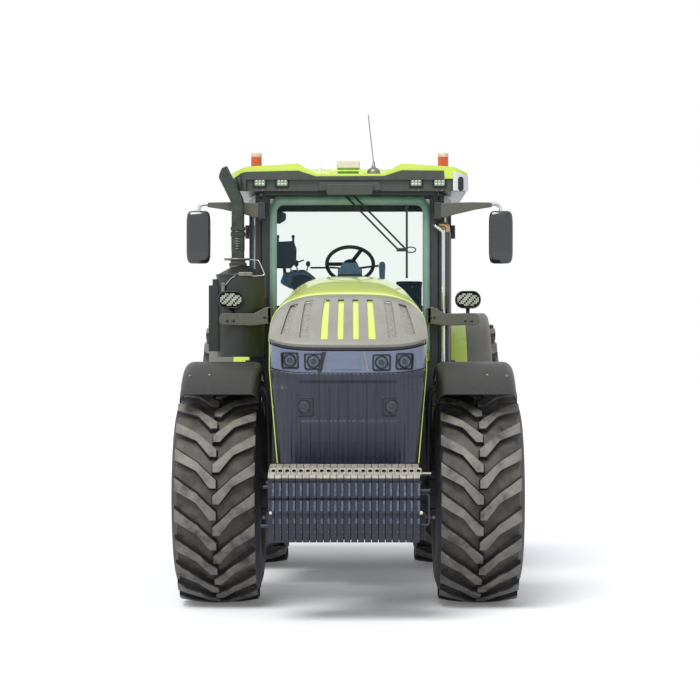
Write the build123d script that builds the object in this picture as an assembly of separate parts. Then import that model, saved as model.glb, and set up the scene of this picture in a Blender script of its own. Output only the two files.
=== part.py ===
"""Farm tractor, millimetres.  It faces -Y, its own left side is +X and the ground is Z = 0."""
from build123d import *
import os
from math import atan, cos, degrees, pi, radians, sin, sqrt

# ---- layout along the tractor ------------------------------------------------------------------
wheelbase = 2900
nose_reach = 1450             # front axle to the face of the front weights
hitch_reach = 1150            # rear axle to the tips of the lower links
front_axle_y = nose_reach - (nose_reach + wheelbase + hitch_reach) / 2
rear_axle_y = front_axle_y + wheelbase
cab_ahead = 1700              # rear axle to the cab's front
cab_front_y = rear_axle_y - cab_ahead

# ---- wheels ------------------------------------------------------------------------------------
front_tyre_radius = 745
front_tyre_width = 590
front_tread_width = 528
front_lug_height = 44
front_lug_count = 22          # on each half of the tread
front_bead_radius = 355.6
front_track_half = 878
front_rim_width = 500
front_disc_offset = 10        # disc face inboard of the tyre's middle
rear_tyre_radius = 980
rear_tyre_width = 690
rear_tread_width = 640
rear_lug_height = 54
rear_lug_count = 20
rear_bead_radius = 482.6
rear_track_half = 835
rear_rim_width = 584
rear_disc_offset = 45
rim_wall = 12
rim_flange = 22
disc_wall = 18
seat_gap = 0.3                # between pieces that seat on each other by a curved face
pin_clearance = 0.05          # radial, at pins and shafts
moving_gap = 6                # between pieces that move past each other
front_hub_radius = 150
rear_hub_radius = 185
hub_depth = 170
front_spindle_radius = 60
rear_spindle_radius = 80

# ---- front axle and steering -------------------------------------------------------------------
kingpin_x = 600
kingpin_radius = 35
kingpin_boss_radius = 80
kingpin_boss_height = 190
knuckle_arm_height = 48
axle_tube_radius = 82
axle_housing_radius = 150
axle_housing_half = 165
steering_arm_length = 190
steering_eye_radius = 38
steering_rod_radius = 18
steering_cylinder_radius = 45
steering_cylinder_half = 250
eye_gap = 0.6

# ---- chassis -----------------------------------------------------------------------------------
frame_half_width = 185
frame_wall = 40
frame_top_z = 1060
frame_bottom_z = 800
frame_nose_top_z = 960
frame_step_y = front_axle_y - 740
frame_rear_y = front_axle_y + 700
axle_arch_half = 230
axle_arch_z = 930
engine_half_width = 230
engine_top_z = 1600
engine_front_y = front_axle_y - 420
sump_bottom_z = 640
transmission_half_width = 235
transmission_top_z = 1180
transmission_bottom_z = 500
transmission_front_y = cab_front_y + 50
transmission_rear_y = rear_axle_y + 200
trumpet_radius = 150

# ---- front weights -----------------------------------------------------------------------------
weight_count = 22
weight_pitch = 43.3
weight_gap = 4
weight_depth = 380
weight_top_z = 1000
weight_bottom_z = 522
weight_rod_radius = 12
weight_shift = -weight_pitch / 2   # the stack hangs half a weight to the right
weight_hole_radius = 13
weight_lip = 60               # depth of the rolled grip along the top
weight_step = 205             # from the top down to the second face
weight_foot = 290             # from the top down to the sloping foot
carrier_depth = 70
carrier_margin = 60

# ---- bonnet ------------------------------------------------------------------------------------
bonnet_gap = 100              # between the bonnet and the cab
bonnet_rear_y = cab_front_y - bonnet_gap
bonnet_top_z = 2257
bonnet_wall = 14
bonnet_low_z = 1700
nose_tip_y = front_axle_y - 950
nose_bottom_z = 985
nose_lip_z = 1770
nose_half_width = 520
nose_panel_length = 560
slot_depth = 7
# nose slots: inner and outer edge at the front end, inner and outer edge at the rear end
slot_table = [(30, 69, 28, 67), (131, 181, 122, 160), (267, 318, 234, 283), (393, 446, 358, 407)]
slot_front = 40               # from the nose's tip
slot_length = 400
lamp_band_z = 1580

hinge_x = 130
hinge_z = bonnet_top_z - 62
hinge_inset = 40              # hinge line ahead of the bonnet's rear edge
hinge_pin_radius = 10
hinge_ear = 10
nose_front_cut = 200          # how far the nose pieces wrap round the sides
lamp_housing_width = 122
lamp_housing_height = 112
lamp_housing_depth = 70
lamp_radius = 44
lamp_z = 1652
grille_lamp_x = 285
grille_lamp_z = 1355
grille_groove_pitch = 62
grille_groove_count = 6

# ---- cab ---------------------------------------------------------------------------------------
cab_length = 1600
floor_z = 1380
floor_wall = 50
cab_top_z = 2894
pillar_depth = 60
a_pillar_inner = 590
a_pillar_outer = 650
b_pillar_outer = 730
door_way = 640                # along the cab, front to middle pillar
b_pillar_y = cab_front_y + door_way
rail_height = 48
door_wall = 40
glass_wall = 6
door_gap = 6
windscreen_bottom_z = 1650
windscreen_bow = 40
glass_lap = 14

door_length = 640
door_frame = 52
door_low_z = floor_z + 12
hinge_stand = 14              # hinge line outside the door's skin
door_edge = 26                # door's rear edge ahead of its hinge line
door_hinge_radius = 14
door_pin_radius = 8
cab_rear_half = 455

# ---- roof --------------------------------------------------------------------------------------
roof_half_width = 875
roof_front_y = cab_front_y - 160
roof_rear_y = cab_front_y + cab_length + 120
roof_seam_z = 2985
roof_crown_z = 3096
roof_recess_z = 3021

# ---- fenders -----------------------------------------------------------------------------------
front_fender_gap = 160        # over the tyre
front_fender_radius = front_tyre_radius + front_fender_gap
front_fender_width = 530
front_fender_centre = 855
front_fender_ahead = 40       # degrees ahead of and behind the top
front_fender_behind = 35
fender_wall = 10
fender_corner = 65
fender_depth = 80
rear_fender_gap = 70
rear_fender_radius = rear_tyre_radius + rear_fender_gap
rear_fender_inner = 462
rear_fender_split = 910
rear_fender_outer = 1105
rear_fender_front = 165       # degrees up from the rear, as seen from the tractor's left
rear_fender_rear = 42

# ---- fittings ----------------------------------------------------------------------------------
canister_radius = 180
canister_x = -790
canister_y = cab_front_y - 230
canister_low_z = 1680
canister_top_z = 2275
exhaust_pipe_radius = 47
exhaust_pipe_wall = 4
exhaust_pipe_x = -814
exhaust_clamp_z = 2615
exhaust_tip_z = 3020
shield_reach = 52             # heat shield beside the canister
bracket_z = 1915
bracket_height = 125
bracket_outer_x = 940
bracket_inner_x = 560
bracket_front_y = cab_front_y - 450
oval_lamp_x = 850
oval_lamp_width = 187
oval_lamp_height = 130
mirror_arm_z = 2775
mirror_centre_x = 1110
mirror_width = 180
mirror_low_z = 2362
mirror_top_z = 2754
mirror_y = cab_front_y - 110
beacon_x = 690
beacon_radius = 42
beacon_top_z = 3199
antenna_x = 176
antenna_top_z = 3465
steering_wheel_z = 2380
steering_wheel_y = cab_front_y + 420
steering_wheel_radius = 190
steering_wheel_tilt = 45
seat_y = cab_front_y + 950
seat_top_z = 1810
seat_back_top_z = 2280
tank_low_z = 520
tank_top_z = 1310
tank_outer_x = 690
tank_front_y = cab_front_y - 150
tank_clearance = 120          # to the rear tyre
tank_rear_y = rear_axle_y - rear_tyre_radius - tank_clearance
step_outer_x = 1010
step_count = 4
step_width = 460
step_tread = 190
step_low_z = 450
step_high_z = 1230
step_lean = 200               # how far the top step stands inboard of the lowest
step_wall = 12

# ---- rear linkage ------------------------------------------------------------------------------
link_pivot_y = rear_axle_y + 290
link_pivot_x = 270
link_z = 560
link_ball_x = 482.5           # half the spacing of a category 3 lower hitch
link_ball_bore = 37.4 / 2
link_eye_radius = 45
link_width = 34
link_pin_radius = 18
rockshaft_y = rear_axle_y + 160
rockshaft_z = 1240
rockshaft_radius = 48
lift_arm_length = 330
lift_arm_x = 385
lift_reach = 470              # lower link pivot to the lift rod's foot
drawbar_z = 420
drawbar_bore = 32 / 2
pto_radius = 34.9 / 2
pto_z = 700
top_link_bore = 31.9 / 2
top_pin_radius = 14
top_link_eye_half = 24
top_link_length = 730
top_link_rise = 8             # degrees up from level at rest

os.makedirs("parts", exist_ok=True)
nodes = {}


# ---- shaping helpers ---------------------------------------------------------------------------
def block(x0, x1, y0, y1, z0, z1):
    """A plain block between two corners."""
    return Pos((x0 + x1) / 2, (y0 + y1) / 2, (z0 + z1) / 2) * Box(abs(x1 - x0), abs(y1 - y0), abs(z1 - z0))


def from_side(outline, x0, x1):
    """An outline in Y and Z, carried across the tractor from x0 to x1."""
    return extrude(Plane.YZ.offset(x0) * make_face(outline), x1 - x0)


def from_front(outline, y0, y1):
    """An outline in X and Z, carried along the tractor from y0 to y1."""
    return extrude(Plane.XZ.offset(-y1) * make_face(outline), y1 - y0)


def from_above(outline, z0, z1):
    """An outline in X and Y, carried upward from z0 to z1."""
    return extrude(Plane.XY.offset(z0) * make_face(outline), z1 - z0)


def ring(*points):
    """A closed outline of straight runs."""
    return Polyline(*points, close=True)


def spun(outline, x, y, z, arc=360):
    """A section of distance across and radius, turned about a cross axis through a point."""
    return Pos(x, y, z) * revolve(make_face(outline), Axis.X, revolution_arc=arc)


def rod_x(radius, x0, x1, y, z):
    """A round bar across the tractor."""
    return Pos((x0 + x1) / 2, y, z) * Rot(0, 90, 0) * Cylinder(radius, abs(x1 - x0))


def rod_z(radius, x, y, z0, z1):
    """An upright round bar."""
    return Pos(x, y, (z0 + z1) / 2) * Cylinder(radius, abs(z1 - z0))


def rod_y(radius, x, y0, y1, z):
    """A round bar along the tractor."""
    return Pos(x, (y0 + y1) / 2, z) * Rot(90, 0, 0) * Cylinder(radius, abs(y1 - y0))


def tube(radius, bend, *points):
    """A round bar or pipe along straight runs with tangent bends."""
    path = FilletPolyline(*points, radius=bend) if len(points) > 2 else Line(*points)
    return sweep(Plane(origin=path @ 0, z_dir=path % 0) * Circle(radius), path=path)


def right_of(shape):
    """The same piece on the tractor's right side."""
    return mirror(shape, about=Plane.YZ)


def add(name, *shapes):
    """Collects what belongs to one node."""
    nodes.setdefault(name, []).extend(shapes)


# ---- wheels ------------------------------------------------------------------------------------
def tread_form(half, radius, drop, depth):
    """A band under the lugs' tips, high in its middle, about the X axis."""
    inner = radius - depth
    return revolve(make_face([
        ThreePointArc((-half, radius - drop), (0, radius), (half, radius - drop)),
        Line((half, radius - drop), (half, inner)),
        Line((half, inner), (-half, inner)),
        Line((-half, inner), (-half, radius - drop)),
    ]), Axis.X)


def tyre(radius, width, tread_width, lug_height, lug_count, bead, rim_width):
    """A tyre with its lugs, about the X axis at the origin, one lug's inner end at the lowest point."""
    rim_half = rim_width / 2
    wall_half = width / 2
    tread_half = tread_width / 2
    crown = radius - lug_height
    shoulder = crown - 34
    belly = bead + 0.5 * (radius - bead)
    bead_top = bead + rim_flange + 2
    outline = [
        Line((-rim_half, bead), (rim_half, bead)),
        Line((rim_half, bead), (rim_half, bead_top)),
        ThreePointArc((rim_half, bead_top), (wall_half, belly), (tread_half - 12, shoulder)),
        ThreePointArc((tread_half - 12, shoulder), (0, crown), (12 - tread_half, shoulder)),
        ThreePointArc((12 - tread_half, shoulder), (-wall_half, belly), (-rim_half, bead_top)),
        Line((-rim_half, bead_top), (-rim_half, bead)),
    ]
    carcass = revolve(make_face(outline), Axis.X)
    pitch = 2 * pi * radius / lug_count
    half = 0.12 * pitch
    rise = 0.95 * pitch
    inner, middle, outer = (-10, 0), (0.45 * tread_half, 0.58 * rise), (tread_half, rise)
    bar = ring((inner[0], -half), (0.12 * tread_half, -half), (middle[0], middle[1] - half), (outer[0], outer[1] - half),
               (outer[0], outer[1] + half), (middle[0], middle[1] + half), (inner[0], half))
    bar = extrude(Plane.XY.offset(radius + 2) * make_face(bar), -lug_height - 62, taper=-12)
    bar = Rot(180, 0, 0) * bar & tread_form(tread_half, radius, 26, lug_height + 70)
    other = Rot(180 / lug_count, 0, 0) * right_of(bar)
    lugs = [Rot(turn * 360 / lug_count, 0, 0) * lug for turn in range(lug_count) for lug in (bar, other)]
    return carcass.fuse(*[solid for lug in lugs for solid in lug.solids()])


def rim(bead, rim_width, disc_offset, hub_radius, spindle_radius):
    """A welded rim, its dished disc with hand holes, and the hub that turns with it."""
    half = rim_width / 2
    seat = bead - seat_gap
    inner = seat - rim_wall
    barrel = ring(
        (-half - rim_wall, bead + rim_flange), (-half - seat_gap, bead + rim_flange),
        (-half - seat_gap, seat), (half + seat_gap, seat), (half + seat_gap, bead + rim_flange),
        (half + rim_wall, bead + rim_flange), (half + rim_wall, inner), (-half - rim_wall, inner))
    face = -disc_offset
    dish = 70
    flat = hub_radius + 45
    disc = ring(
        (face + dish, inner + 2), (face + dish + disc_wall, inner + 2), (face + disc_wall, flat),
        (face + disc_wall, hub_radius - 10), (face, hub_radius - 10), (face, flat))
    hub = ring(
        (face - hub_depth / 2, spindle_radius + pin_clearance), (face - hub_depth / 2, hub_radius),
        (face + hub_depth / 4, hub_radius), (face + hub_depth / 2, hub_radius - 35),
        (face + hub_depth / 2, 0), (face + hub_depth / 4, 0),
        (face + hub_depth / 4, spindle_radius + pin_clearance))
    wheel = revolve(make_face(barrel), Axis.X) + revolve(make_face(disc), Axis.X)
    wheel += revolve(make_face(hub), Axis.X)
    hole_radius = (inner - flat) * 0.3
    hole_reach = (inner + flat) / 2
    hole_count = 8
    for turn in range(hole_count):
        hole = Rot(turn * 360 / hole_count, 0, 0) * rod_x(hole_radius, face - 10, face + dish + 40, 0, hole_reach)
        wheel -= hole
    return wheel


# tyre radius, width, tread width, lug height, lugs on each half, bead radius, rim width
tyre_table = {
    "front": (front_tyre_radius, front_tyre_width, front_tread_width, front_lug_height, front_lug_count,
              front_bead_radius, front_rim_width),
    "rear": (rear_tyre_radius, rear_tyre_width, rear_tread_width, rear_lug_height, rear_lug_count,
             rear_bead_radius, rear_rim_width),
}
# end, tyre radius, bead radius, rim width, disc offset, hub radius, spindle radius, track half, axle y
wheel_table = [
    ("front", front_tyre_radius, front_bead_radius, front_rim_width, front_disc_offset,
     front_hub_radius, front_spindle_radius, front_track_half, front_axle_y),
    ("rear", rear_tyre_radius, rear_bead_radius, rear_rim_width, rear_disc_offset,
     rear_hub_radius, rear_spindle_radius, rear_track_half, rear_axle_y),
]
for end, radius, bead, rim_width, disc_offset, hub_radius, spindle, track, axle_y in wheel_table:
    place = Pos(track, axle_y, radius)
    left_tyre = place * tyre(*tyre_table[end])
    left_rim = place * rim(bead, rim_width, disc_offset, hub_radius, spindle)
    add(f"{end}_tyre_left", left_tyre)
    add(f"{end}_tyre_right", right_of(left_tyre))
    add(f"{end}_rim_left", left_rim)
    add(f"{end}_rim_right", right_of(left_rim))

front_z = front_tyre_radius
rear_z = rear_tyre_radius
front_hub_inner = front_track_half - front_disc_offset - hub_depth / 2
front_hub_floor = front_track_half - front_disc_offset + hub_depth / 4
rear_hub_inner = rear_track_half - rear_disc_offset - hub_depth / 2
rear_hub_floor = rear_track_half - rear_disc_offset + hub_depth / 4

# ---- front axle: housing on its trunnion, tubes, kingpin bosses and steering cylinder ----------
boss_low = front_z - kingpin_boss_height / 2
boss_high = front_z + kingpin_boss_height / 2
rod_y_place = front_axle_y + steering_arm_length
arm_low = boss_low - moving_gap - knuckle_arm_height
rod_z_place = arm_low - eye_gap - steering_eye_radius / 2

axle = spun(ring((-axle_housing_half, 0), (-axle_housing_half, axle_tube_radius + 20),
                 (-axle_housing_half + 60, axle_housing_radius), (axle_housing_half - 60, axle_housing_radius),
                 (axle_housing_half, axle_tube_radius + 20), (axle_housing_half, 0)), 0, front_axle_y, front_z)
axle += rod_x(axle_tube_radius, -kingpin_x, kingpin_x, front_axle_y, front_z)
axle += block(-80, 80, front_axle_y - 210, front_axle_y + 210, front_z + 60, axle_arch_z)
for side in (-1, 1):
    axle += rod_z(kingpin_boss_radius, side * kingpin_x, front_axle_y, boss_low, boss_high)
    axle -= rod_z(kingpin_radius + pin_clearance, side * kingpin_x, front_axle_y, boss_low - 1, boss_high + 1)
    axle += block(side * 110 - 20, side * 110 + 20, front_axle_y, rod_y_place, rod_z_place - 20, front_z - 40)
axle += rod_x(steering_cylinder_radius, -steering_cylinder_half, steering_cylinder_half, rod_y_place, rod_z_place)
axle -= rod_x(steering_rod_radius + pin_clearance, -steering_cylinder_half - 1, steering_cylinder_half + 1,
              rod_y_place, rod_z_place)
add("front_axle", axle)

steering_rod = rod_x(steering_rod_radius, -kingpin_x, kingpin_x, rod_y_place, rod_z_place)
for side in (-1, 1):
    steering_rod += rod_z(steering_eye_radius, side * kingpin_x, rod_y_place,
                          rod_z_place - steering_eye_radius / 2, rod_z_place + steering_eye_radius / 2)
add("steering_rod", steering_rod)

# ---- steering knuckles with the stays that carry the front fenders -----------------------------
knuckle_plate_x = kingpin_x + kingpin_boss_radius + 16
knuckle_half = 75
stay_radius = 17
stay_x = front_track_half - front_tyre_width / 2 - 34
stay_reach = 260              # stays ahead of and behind the axle
stay_top_z = front_z + sqrt((front_fender_radius - fender_wall - stay_radius - seat_gap) ** 2 - stay_reach ** 2)
arm_high = boss_high + moving_gap + knuckle_arm_height

knuckle = block(knuckle_plate_x, front_hub_inner - moving_gap, front_axle_y - knuckle_half,
                front_axle_y + knuckle_half, arm_low, arm_high)
for low in (arm_low, boss_high + moving_gap):
    knuckle += block(kingpin_x, knuckle_plate_x + 5, front_axle_y - knuckle_half, front_axle_y + knuckle_half,
                     low, low + knuckle_arm_height)
    knuckle += rod_z(knuckle_half, kingpin_x, front_axle_y, low, low + knuckle_arm_height)
knuckle += rod_z(kingpin_radius, kingpin_x, front_axle_y, arm_low, arm_high)
knuckle += rod_x(front_spindle_radius, front_hub_inner - moving_gap, front_hub_floor - 2, front_axle_y, front_z)
knuckle += block(kingpin_x - 32, kingpin_x + 32, front_axle_y, rod_y_place, arm_low, boss_low - moving_gap)
knuckle += rod_z(32, kingpin_x, rod_y_place, arm_low, boss_low - moving_gap)
knuckle += block(stay_x - stay_radius, kingpin_x, front_axle_y - 40, front_axle_y + 40, arm_high - 30, arm_high)
for reach in (-1, 1):
    foot_y = front_axle_y + reach * 22
    top_y = front_axle_y + reach * stay_reach
    knuckle += tube(stay_radius, 60, (stay_x, foot_y, arm_high - 15), (stay_x, top_y, stay_top_z - 145),
                    (stay_x + 156, top_y, stay_top_z), (front_fender_centre + 190, top_y, stay_top_z))
add("knuckle_left", knuckle)
add("knuckle_right", right_of(knuckle))


def fender_section(x0, x1, r_top, depth, corner, wall):
    """A tray section that opens inward: its width in X, its radius in Y."""
    outer = Pos((x0 + x1) / 2, r_top - depth / 2) * Rectangle(x1 - x0, depth)
    outer = fillet(outer.vertices().group_by(Axis.Y)[-1], corner)
    inner = Pos((x0 + x1) / 2, r_top - wall - depth / 2) * Rectangle(x1 - x0 - 2 * wall, depth)
    inner = fillet(inner.vertices().group_by(Axis.Y)[-1], corner - wall)
    return outer - inner


front_section = fender_section(front_fender_centre - front_fender_width / 2,
                               front_fender_centre + front_fender_width / 2,
                               front_fender_radius, fender_depth, fender_corner, fender_wall)
front_fender = Pos(0, front_axle_y, front_z) * Rot(90 - front_fender_behind, 0, 0) * revolve(
    front_section, Axis.X, revolution_arc=front_fender_ahead + front_fender_behind)
add("front_fender_left", front_fender)
add("front_fender_right", right_of(front_fender))

# ---- chassis, engine, transmission -------------------------------------------------------------
weight_front_y = front_axle_y - nose_reach
weight_back_y = weight_front_y + weight_depth
frame_front_y = weight_back_y + carrier_depth
frame_outline = ring(
    (frame_front_y, frame_bottom_z), (front_axle_y - axle_arch_half - 90, frame_bottom_z),
    (front_axle_y - axle_arch_half, axle_arch_z), (front_axle_y + axle_arch_half, axle_arch_z),
    (front_axle_y + axle_arch_half + 90, frame_bottom_z), (frame_rear_y, frame_bottom_z),
    (frame_rear_y, frame_top_z), (frame_step_y + 60, frame_top_z),
    (frame_step_y, frame_nose_top_z), (frame_front_y, frame_nose_top_z))
frame = from_side(frame_outline, -frame_half_width, frame_half_width)
frame -= block(-frame_half_width + frame_wall, frame_half_width - frame_wall,
               frame_front_y + frame_wall, frame_rear_y + 1, axle_arch_z + frame_wall, frame_top_z + 1)
add("chassis_frame", frame)

engine_rear_y = cab_front_y - 30
engine_outline = ring(
    (engine_front_y, frame_top_z), (frame_rear_y, frame_top_z), (frame_rear_y, sump_bottom_z),
    (transmission_front_y, sump_bottom_z), (transmission_front_y, transmission_top_z),
    (engine_rear_y, transmission_top_z), (engine_rear_y, engine_top_z), (engine_front_y, engine_top_z))
add("engine_block", from_side(engine_outline, -engine_half_width, engine_half_width))

transmission_outline = ring(
    (transmission_front_y, transmission_bottom_z + 80), (transmission_front_y + 300, transmission_bottom_z),
    (transmission_rear_y, transmission_bottom_z), (transmission_rear_y, transmission_top_z),
    (transmission_front_y, transmission_top_z))
add("transmission_housing", from_side(transmission_outline, -transmission_half_width, transmission_half_width))

trumpet_section = ring(
    (transmission_half_width, 0), (transmission_half_width, trumpet_radius + 70),
    (transmission_half_width + 40, trumpet_radius + 70), (transmission_half_width + 90, trumpet_radius + 10),
    (rear_hub_inner - 90, trumpet_radius - 20), (rear_hub_inner - 60, trumpet_radius + 15),
    (rear_hub_inner - moving_gap, trumpet_radius + 15), (rear_hub_inner - moving_gap, rear_spindle_radius),
    (rear_hub_floor - 2, rear_spindle_radius), (rear_hub_floor - 2, 0))
trumpet = spun(trumpet_section, 0, rear_axle_y, rear_z)
add("rear_axle", trumpet, right_of(trumpet))

# ---- front weights on their carrier ------------------------------------------------------------
weight_half = weight_count * weight_pitch / 2
weight_outline = [
    Line((weight_back_y, weight_top_z), (weight_front_y + weight_lip, weight_top_z - 35)),
    Line((weight_front_y + weight_lip, weight_top_z - 35), (weight_front_y + 30, weight_top_z - 50)),
    ThreePointArc((weight_front_y + 30, weight_top_z - 50), (weight_front_y + 2, weight_top_z - 68),
                  (weight_front_y + 14, weight_top_z - 94)),
    Line((weight_front_y + 14, weight_top_z - 94), (weight_front_y + 6, weight_top_z - weight_step + 12)),
    Line((weight_front_y + 6, weight_top_z - weight_step + 12), (weight_front_y + 22, weight_top_z - weight_step)),
    Line((weight_front_y + 22, weight_top_z - weight_step), (weight_front_y + 14, weight_top_z - weight_foot)),
    Line((weight_front_y + 14, weight_top_z - weight_foot), (weight_front_y + 30, weight_top_z - weight_foot - 12)),
    Line((weight_front_y + 30, weight_top_z - weight_foot - 12), (weight_front_y + 84, weight_bottom_z)),
    Line((weight_front_y + 84, weight_bottom_z), (weight_back_y - 60, weight_bottom_z)),
    Line((weight_back_y - 60, weight_bottom_z), (weight_back_y, weight_bottom_z + 90)),
    Line((weight_back_y, weight_bottom_z + 90), (weight_back_y, weight_top_z)),
]
weight_rod_y = weight_front_y + 180
weight_rod_z = weight_top_z - 110
grip_hole = Pos(0, weight_front_y + weight_lip + 12, weight_top_z - 30) * Rot(5, 0, 0) * Cylinder(weight_hole_radius, 50)
plain_weight = from_side(weight_outline, (weight_gap - weight_pitch) / 2, (weight_pitch - weight_gap) / 2)
plain_weight -= grip_hole
weight_places = [weight_shift - weight_half + (place + 0.5) * weight_pitch for place in range(weight_count)]
end_pins = [(-1, 30, 128), (-1, 44, 372), (1, 64, 150), (1, 70, 46)]     # side, reach out, down from the top
weights = rod_x(weight_rod_radius, weight_shift - weight_half - 14, weight_shift + weight_half + 14,
                weight_rod_y, weight_rod_z)
for x in weight_places:
    weights += Pos(x, 0, 0) * plain_weight
for side, reach, drop in end_pins:
    end_x = weight_shift + side * weight_half
    weights += rod_x(10, end_x - side * 10, end_x + side * reach, weight_front_y + 60, weight_top_z - drop)
add("front_weights", weights)

carrier = block(-weight_half + carrier_margin, weight_half - carrier_margin, weight_back_y, frame_front_y,
                frame_bottom_z - 130, frame_nose_top_z)
add("weight_carrier", carrier)

# ---- bonnet: one shell over the engine, cut into its panels ------------------------------------
# station y, half width at the bottom, at the lamp band, at the lip, at the shoulder, shoulder z, top z
bonnet_sections = [
    (nose_tip_y - 60, nose_half_width - 60, nose_half_width - 20, nose_half_width, nose_half_width - 70,
     bonnet_top_z - 190, bonnet_top_z - 20),
    (bonnet_rear_y, nose_half_width - 90, nose_half_width - 60, nose_half_width - 45, nose_half_width - 115,
     bonnet_top_z - 170, bonnet_top_z),
]


def bonnet_body(inset):
    """The bonnet's outer form, moved inward by the inset."""
    faces = []
    for y, low, band, lip, shoulder, shoulder_z, top in bonnet_sections:
        right = [(low - inset, nose_bottom_z), (band - inset, lamp_band_z), (lip - inset, nose_lip_z),
                 (shoulder - inset, shoulder_z - inset)]
        left = [(-x, z) for x, z in reversed(right)]
        sides = Polyline(*right)
        crown = ThreePointArc(right[-1], (0, top - inset), left[0])
        other = Polyline(*left)
        base = Line(left[-1], right[0])
        faces.append(Plane.XZ.offset(-y) * make_face([sides, crown, other, base]))
    across = loft(faces, ruled=True)
    slope_y = nose_tip_y + nose_panel_length
    side = [
        Line((bonnet_rear_y, bonnet_low_z), (bonnet_rear_y, bonnet_top_z - inset)),
        ThreePointArc((bonnet_rear_y, bonnet_top_z - inset),
                      ((bonnet_rear_y + slope_y) / 2, bonnet_top_z - 35 - inset),
                      (slope_y, bonnet_top_z - 160 - inset)),
        ThreePointArc((slope_y, bonnet_top_z - 160 - inset),
                      (nose_tip_y + 170 + inset, nose_lip_z + 150 - inset),
                      (nose_tip_y + inset, nose_lip_z + 15)),
        Line((nose_tip_y + inset, nose_lip_z + 15), (nose_tip_y + inset, nose_lip_z - 20)),
        Line((nose_tip_y + inset, nose_lip_z - 20), (nose_tip_y + 35 + inset, lamp_band_z)),
        Line((nose_tip_y + 35 + inset, lamp_band_z), (nose_tip_y + 110 + inset, nose_bottom_z)),
        Line((nose_tip_y + 110 + inset, nose_bottom_z), (nose_tip_y + 160, nose_bottom_z)),
        Line((nose_tip_y + 160, nose_bottom_z), (nose_tip_y + 310, bonnet_low_z)),
        Line((nose_tip_y + 310, bonnet_low_z), (bonnet_rear_y, bonnet_low_z)),
    ]
    along = from_side(side, -nose_half_width, nose_half_width)
    body = across & along
    half = nose_half_width - inset
    tip = nose_tip_y + inset
    plan = [
        Line((half, bonnet_rear_y), (half, tip + 190)),
        ThreePointArc((half, tip + 190), (half - 60, tip + 70), (half - 190, tip + 25)),
        ThreePointArc((half - 190, tip + 25), (0, tip), (190 - half, tip + 25)),
        ThreePointArc((190 - half, tip + 25), (60 - half, tip + 70), (-half, tip + 190)),
        Line((-half, tip + 190), (-half, bonnet_rear_y)),
        Line((-half, bonnet_rear_y), (half, bonnet_rear_y)),
    ]
    return body & from_above(plan, nose_bottom_z - 10, bonnet_top_z + 10)


outer_body = bonnet_body(0)
inner_body = bonnet_body(bonnet_wall)
shell = outer_body - inner_body
slope_y = nose_tip_y + nose_panel_length
lip_low_z = nose_lip_z - 20
wrap_y = nose_tip_y + nose_front_cut
nose_cutter = from_side(ring((nose_tip_y - 50, lip_low_z), (wrap_y, lip_low_z), (slope_y, bonnet_top_z - 90),
                             (slope_y, bonnet_top_z + 50), (nose_tip_y - 50, bonnet_top_z + 50)),
                        -nose_half_width - 50, nose_half_width + 50)
band_cutter = block(-nose_half_width - 50, nose_half_width + 50, nose_tip_y - 50, wrap_y, lamp_band_z, lip_low_z)
grille_cutter = block(-nose_half_width, nose_half_width, nose_tip_y - 50, nose_tip_y + 110,
                      nose_bottom_z - 50, lamp_band_z)
nose = shell & nose_cutter
slot_body = bonnet_body(slot_depth)
slot_skin = outer_body - slot_body
slot_y = nose_tip_y + slot_front
slots = [from_above(ring((side * front_in, slot_y + lag), (side * front_out, slot_y + lag + bend),
                         (side * rear_out, slot_y + slot_length), (side * rear_in, slot_y + slot_length)),
                    nose_lip_z, bonnet_top_z)
         for lag, bend, (front_in, front_out, rear_in, rear_out) in zip((0, 2, 14, 34), (1, 4, 12, 26), slot_table)
         for side in (-1, 1)]
for slot in slots:
    nose -= slot_skin & slot
band = shell & band_cutter
grille = shell & grille_cutter
for rib in range(-grille_groove_count, grille_groove_count + 1):
    groove_x = rib * grille_groove_pitch
    grille -= (outer_body - slot_body) & block(groove_x - 4, groove_x + 4, nose_tip_y - 50, nose_tip_y + 110,
                                               nose_bottom_z + 60, lamp_band_z - 70)
panel = shell - nose_cutter - band_cutter - grille_cutter

# across, height: four headlamps in the band and two work lamps in the grille
lamp_table = [(-375, lamp_z), (-220, lamp_z), (220, lamp_z), (375, lamp_z),
              (-grille_lamp_x, grille_lamp_z), (grille_lamp_x, grille_lamp_z)]
for x, z in lamp_table:
    lean = 35 * (lip_low_z - z) / (lip_low_z - lamp_band_z) if z > lamp_band_z else 60
    bow = 25 * (x / (nose_half_width - 190)) ** 2
    face_y = nose_tip_y + lean + bow - 2
    housing = block(x - lamp_housing_width / 2, x + lamp_housing_width / 2, face_y, face_y + lamp_housing_depth,
                    z - lamp_housing_height / 2, z + lamp_housing_height / 2)
    band -= housing
    grille -= housing
    housing -= rod_y(lamp_radius + 6, x, face_y - 1, face_y + 14, z)
    housing += rod_y(lamp_radius, x, face_y + 2, face_y + 20, z)
    add("headlamps", housing)

hinge_y = bonnet_rear_y - hinge_inset
for side in (-1, 1):
    ear_x = side * (hinge_x + 26)
    ear = block(ear_x - hinge_ear / 2, ear_x + hinge_ear / 2, hinge_y - 22, hinge_y + 22, hinge_z - 22, bonnet_top_z)
    panel += ear & (outer_body + inner_body)
    panel += rod_x(hinge_pin_radius, side * (hinge_x - 16), ear_x, hinge_y, hinge_z)
add("bonnet_panel", panel)
add("bonnet_nose", nose)
add("headlamp_band", band)
add("front_grille", grille)

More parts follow.
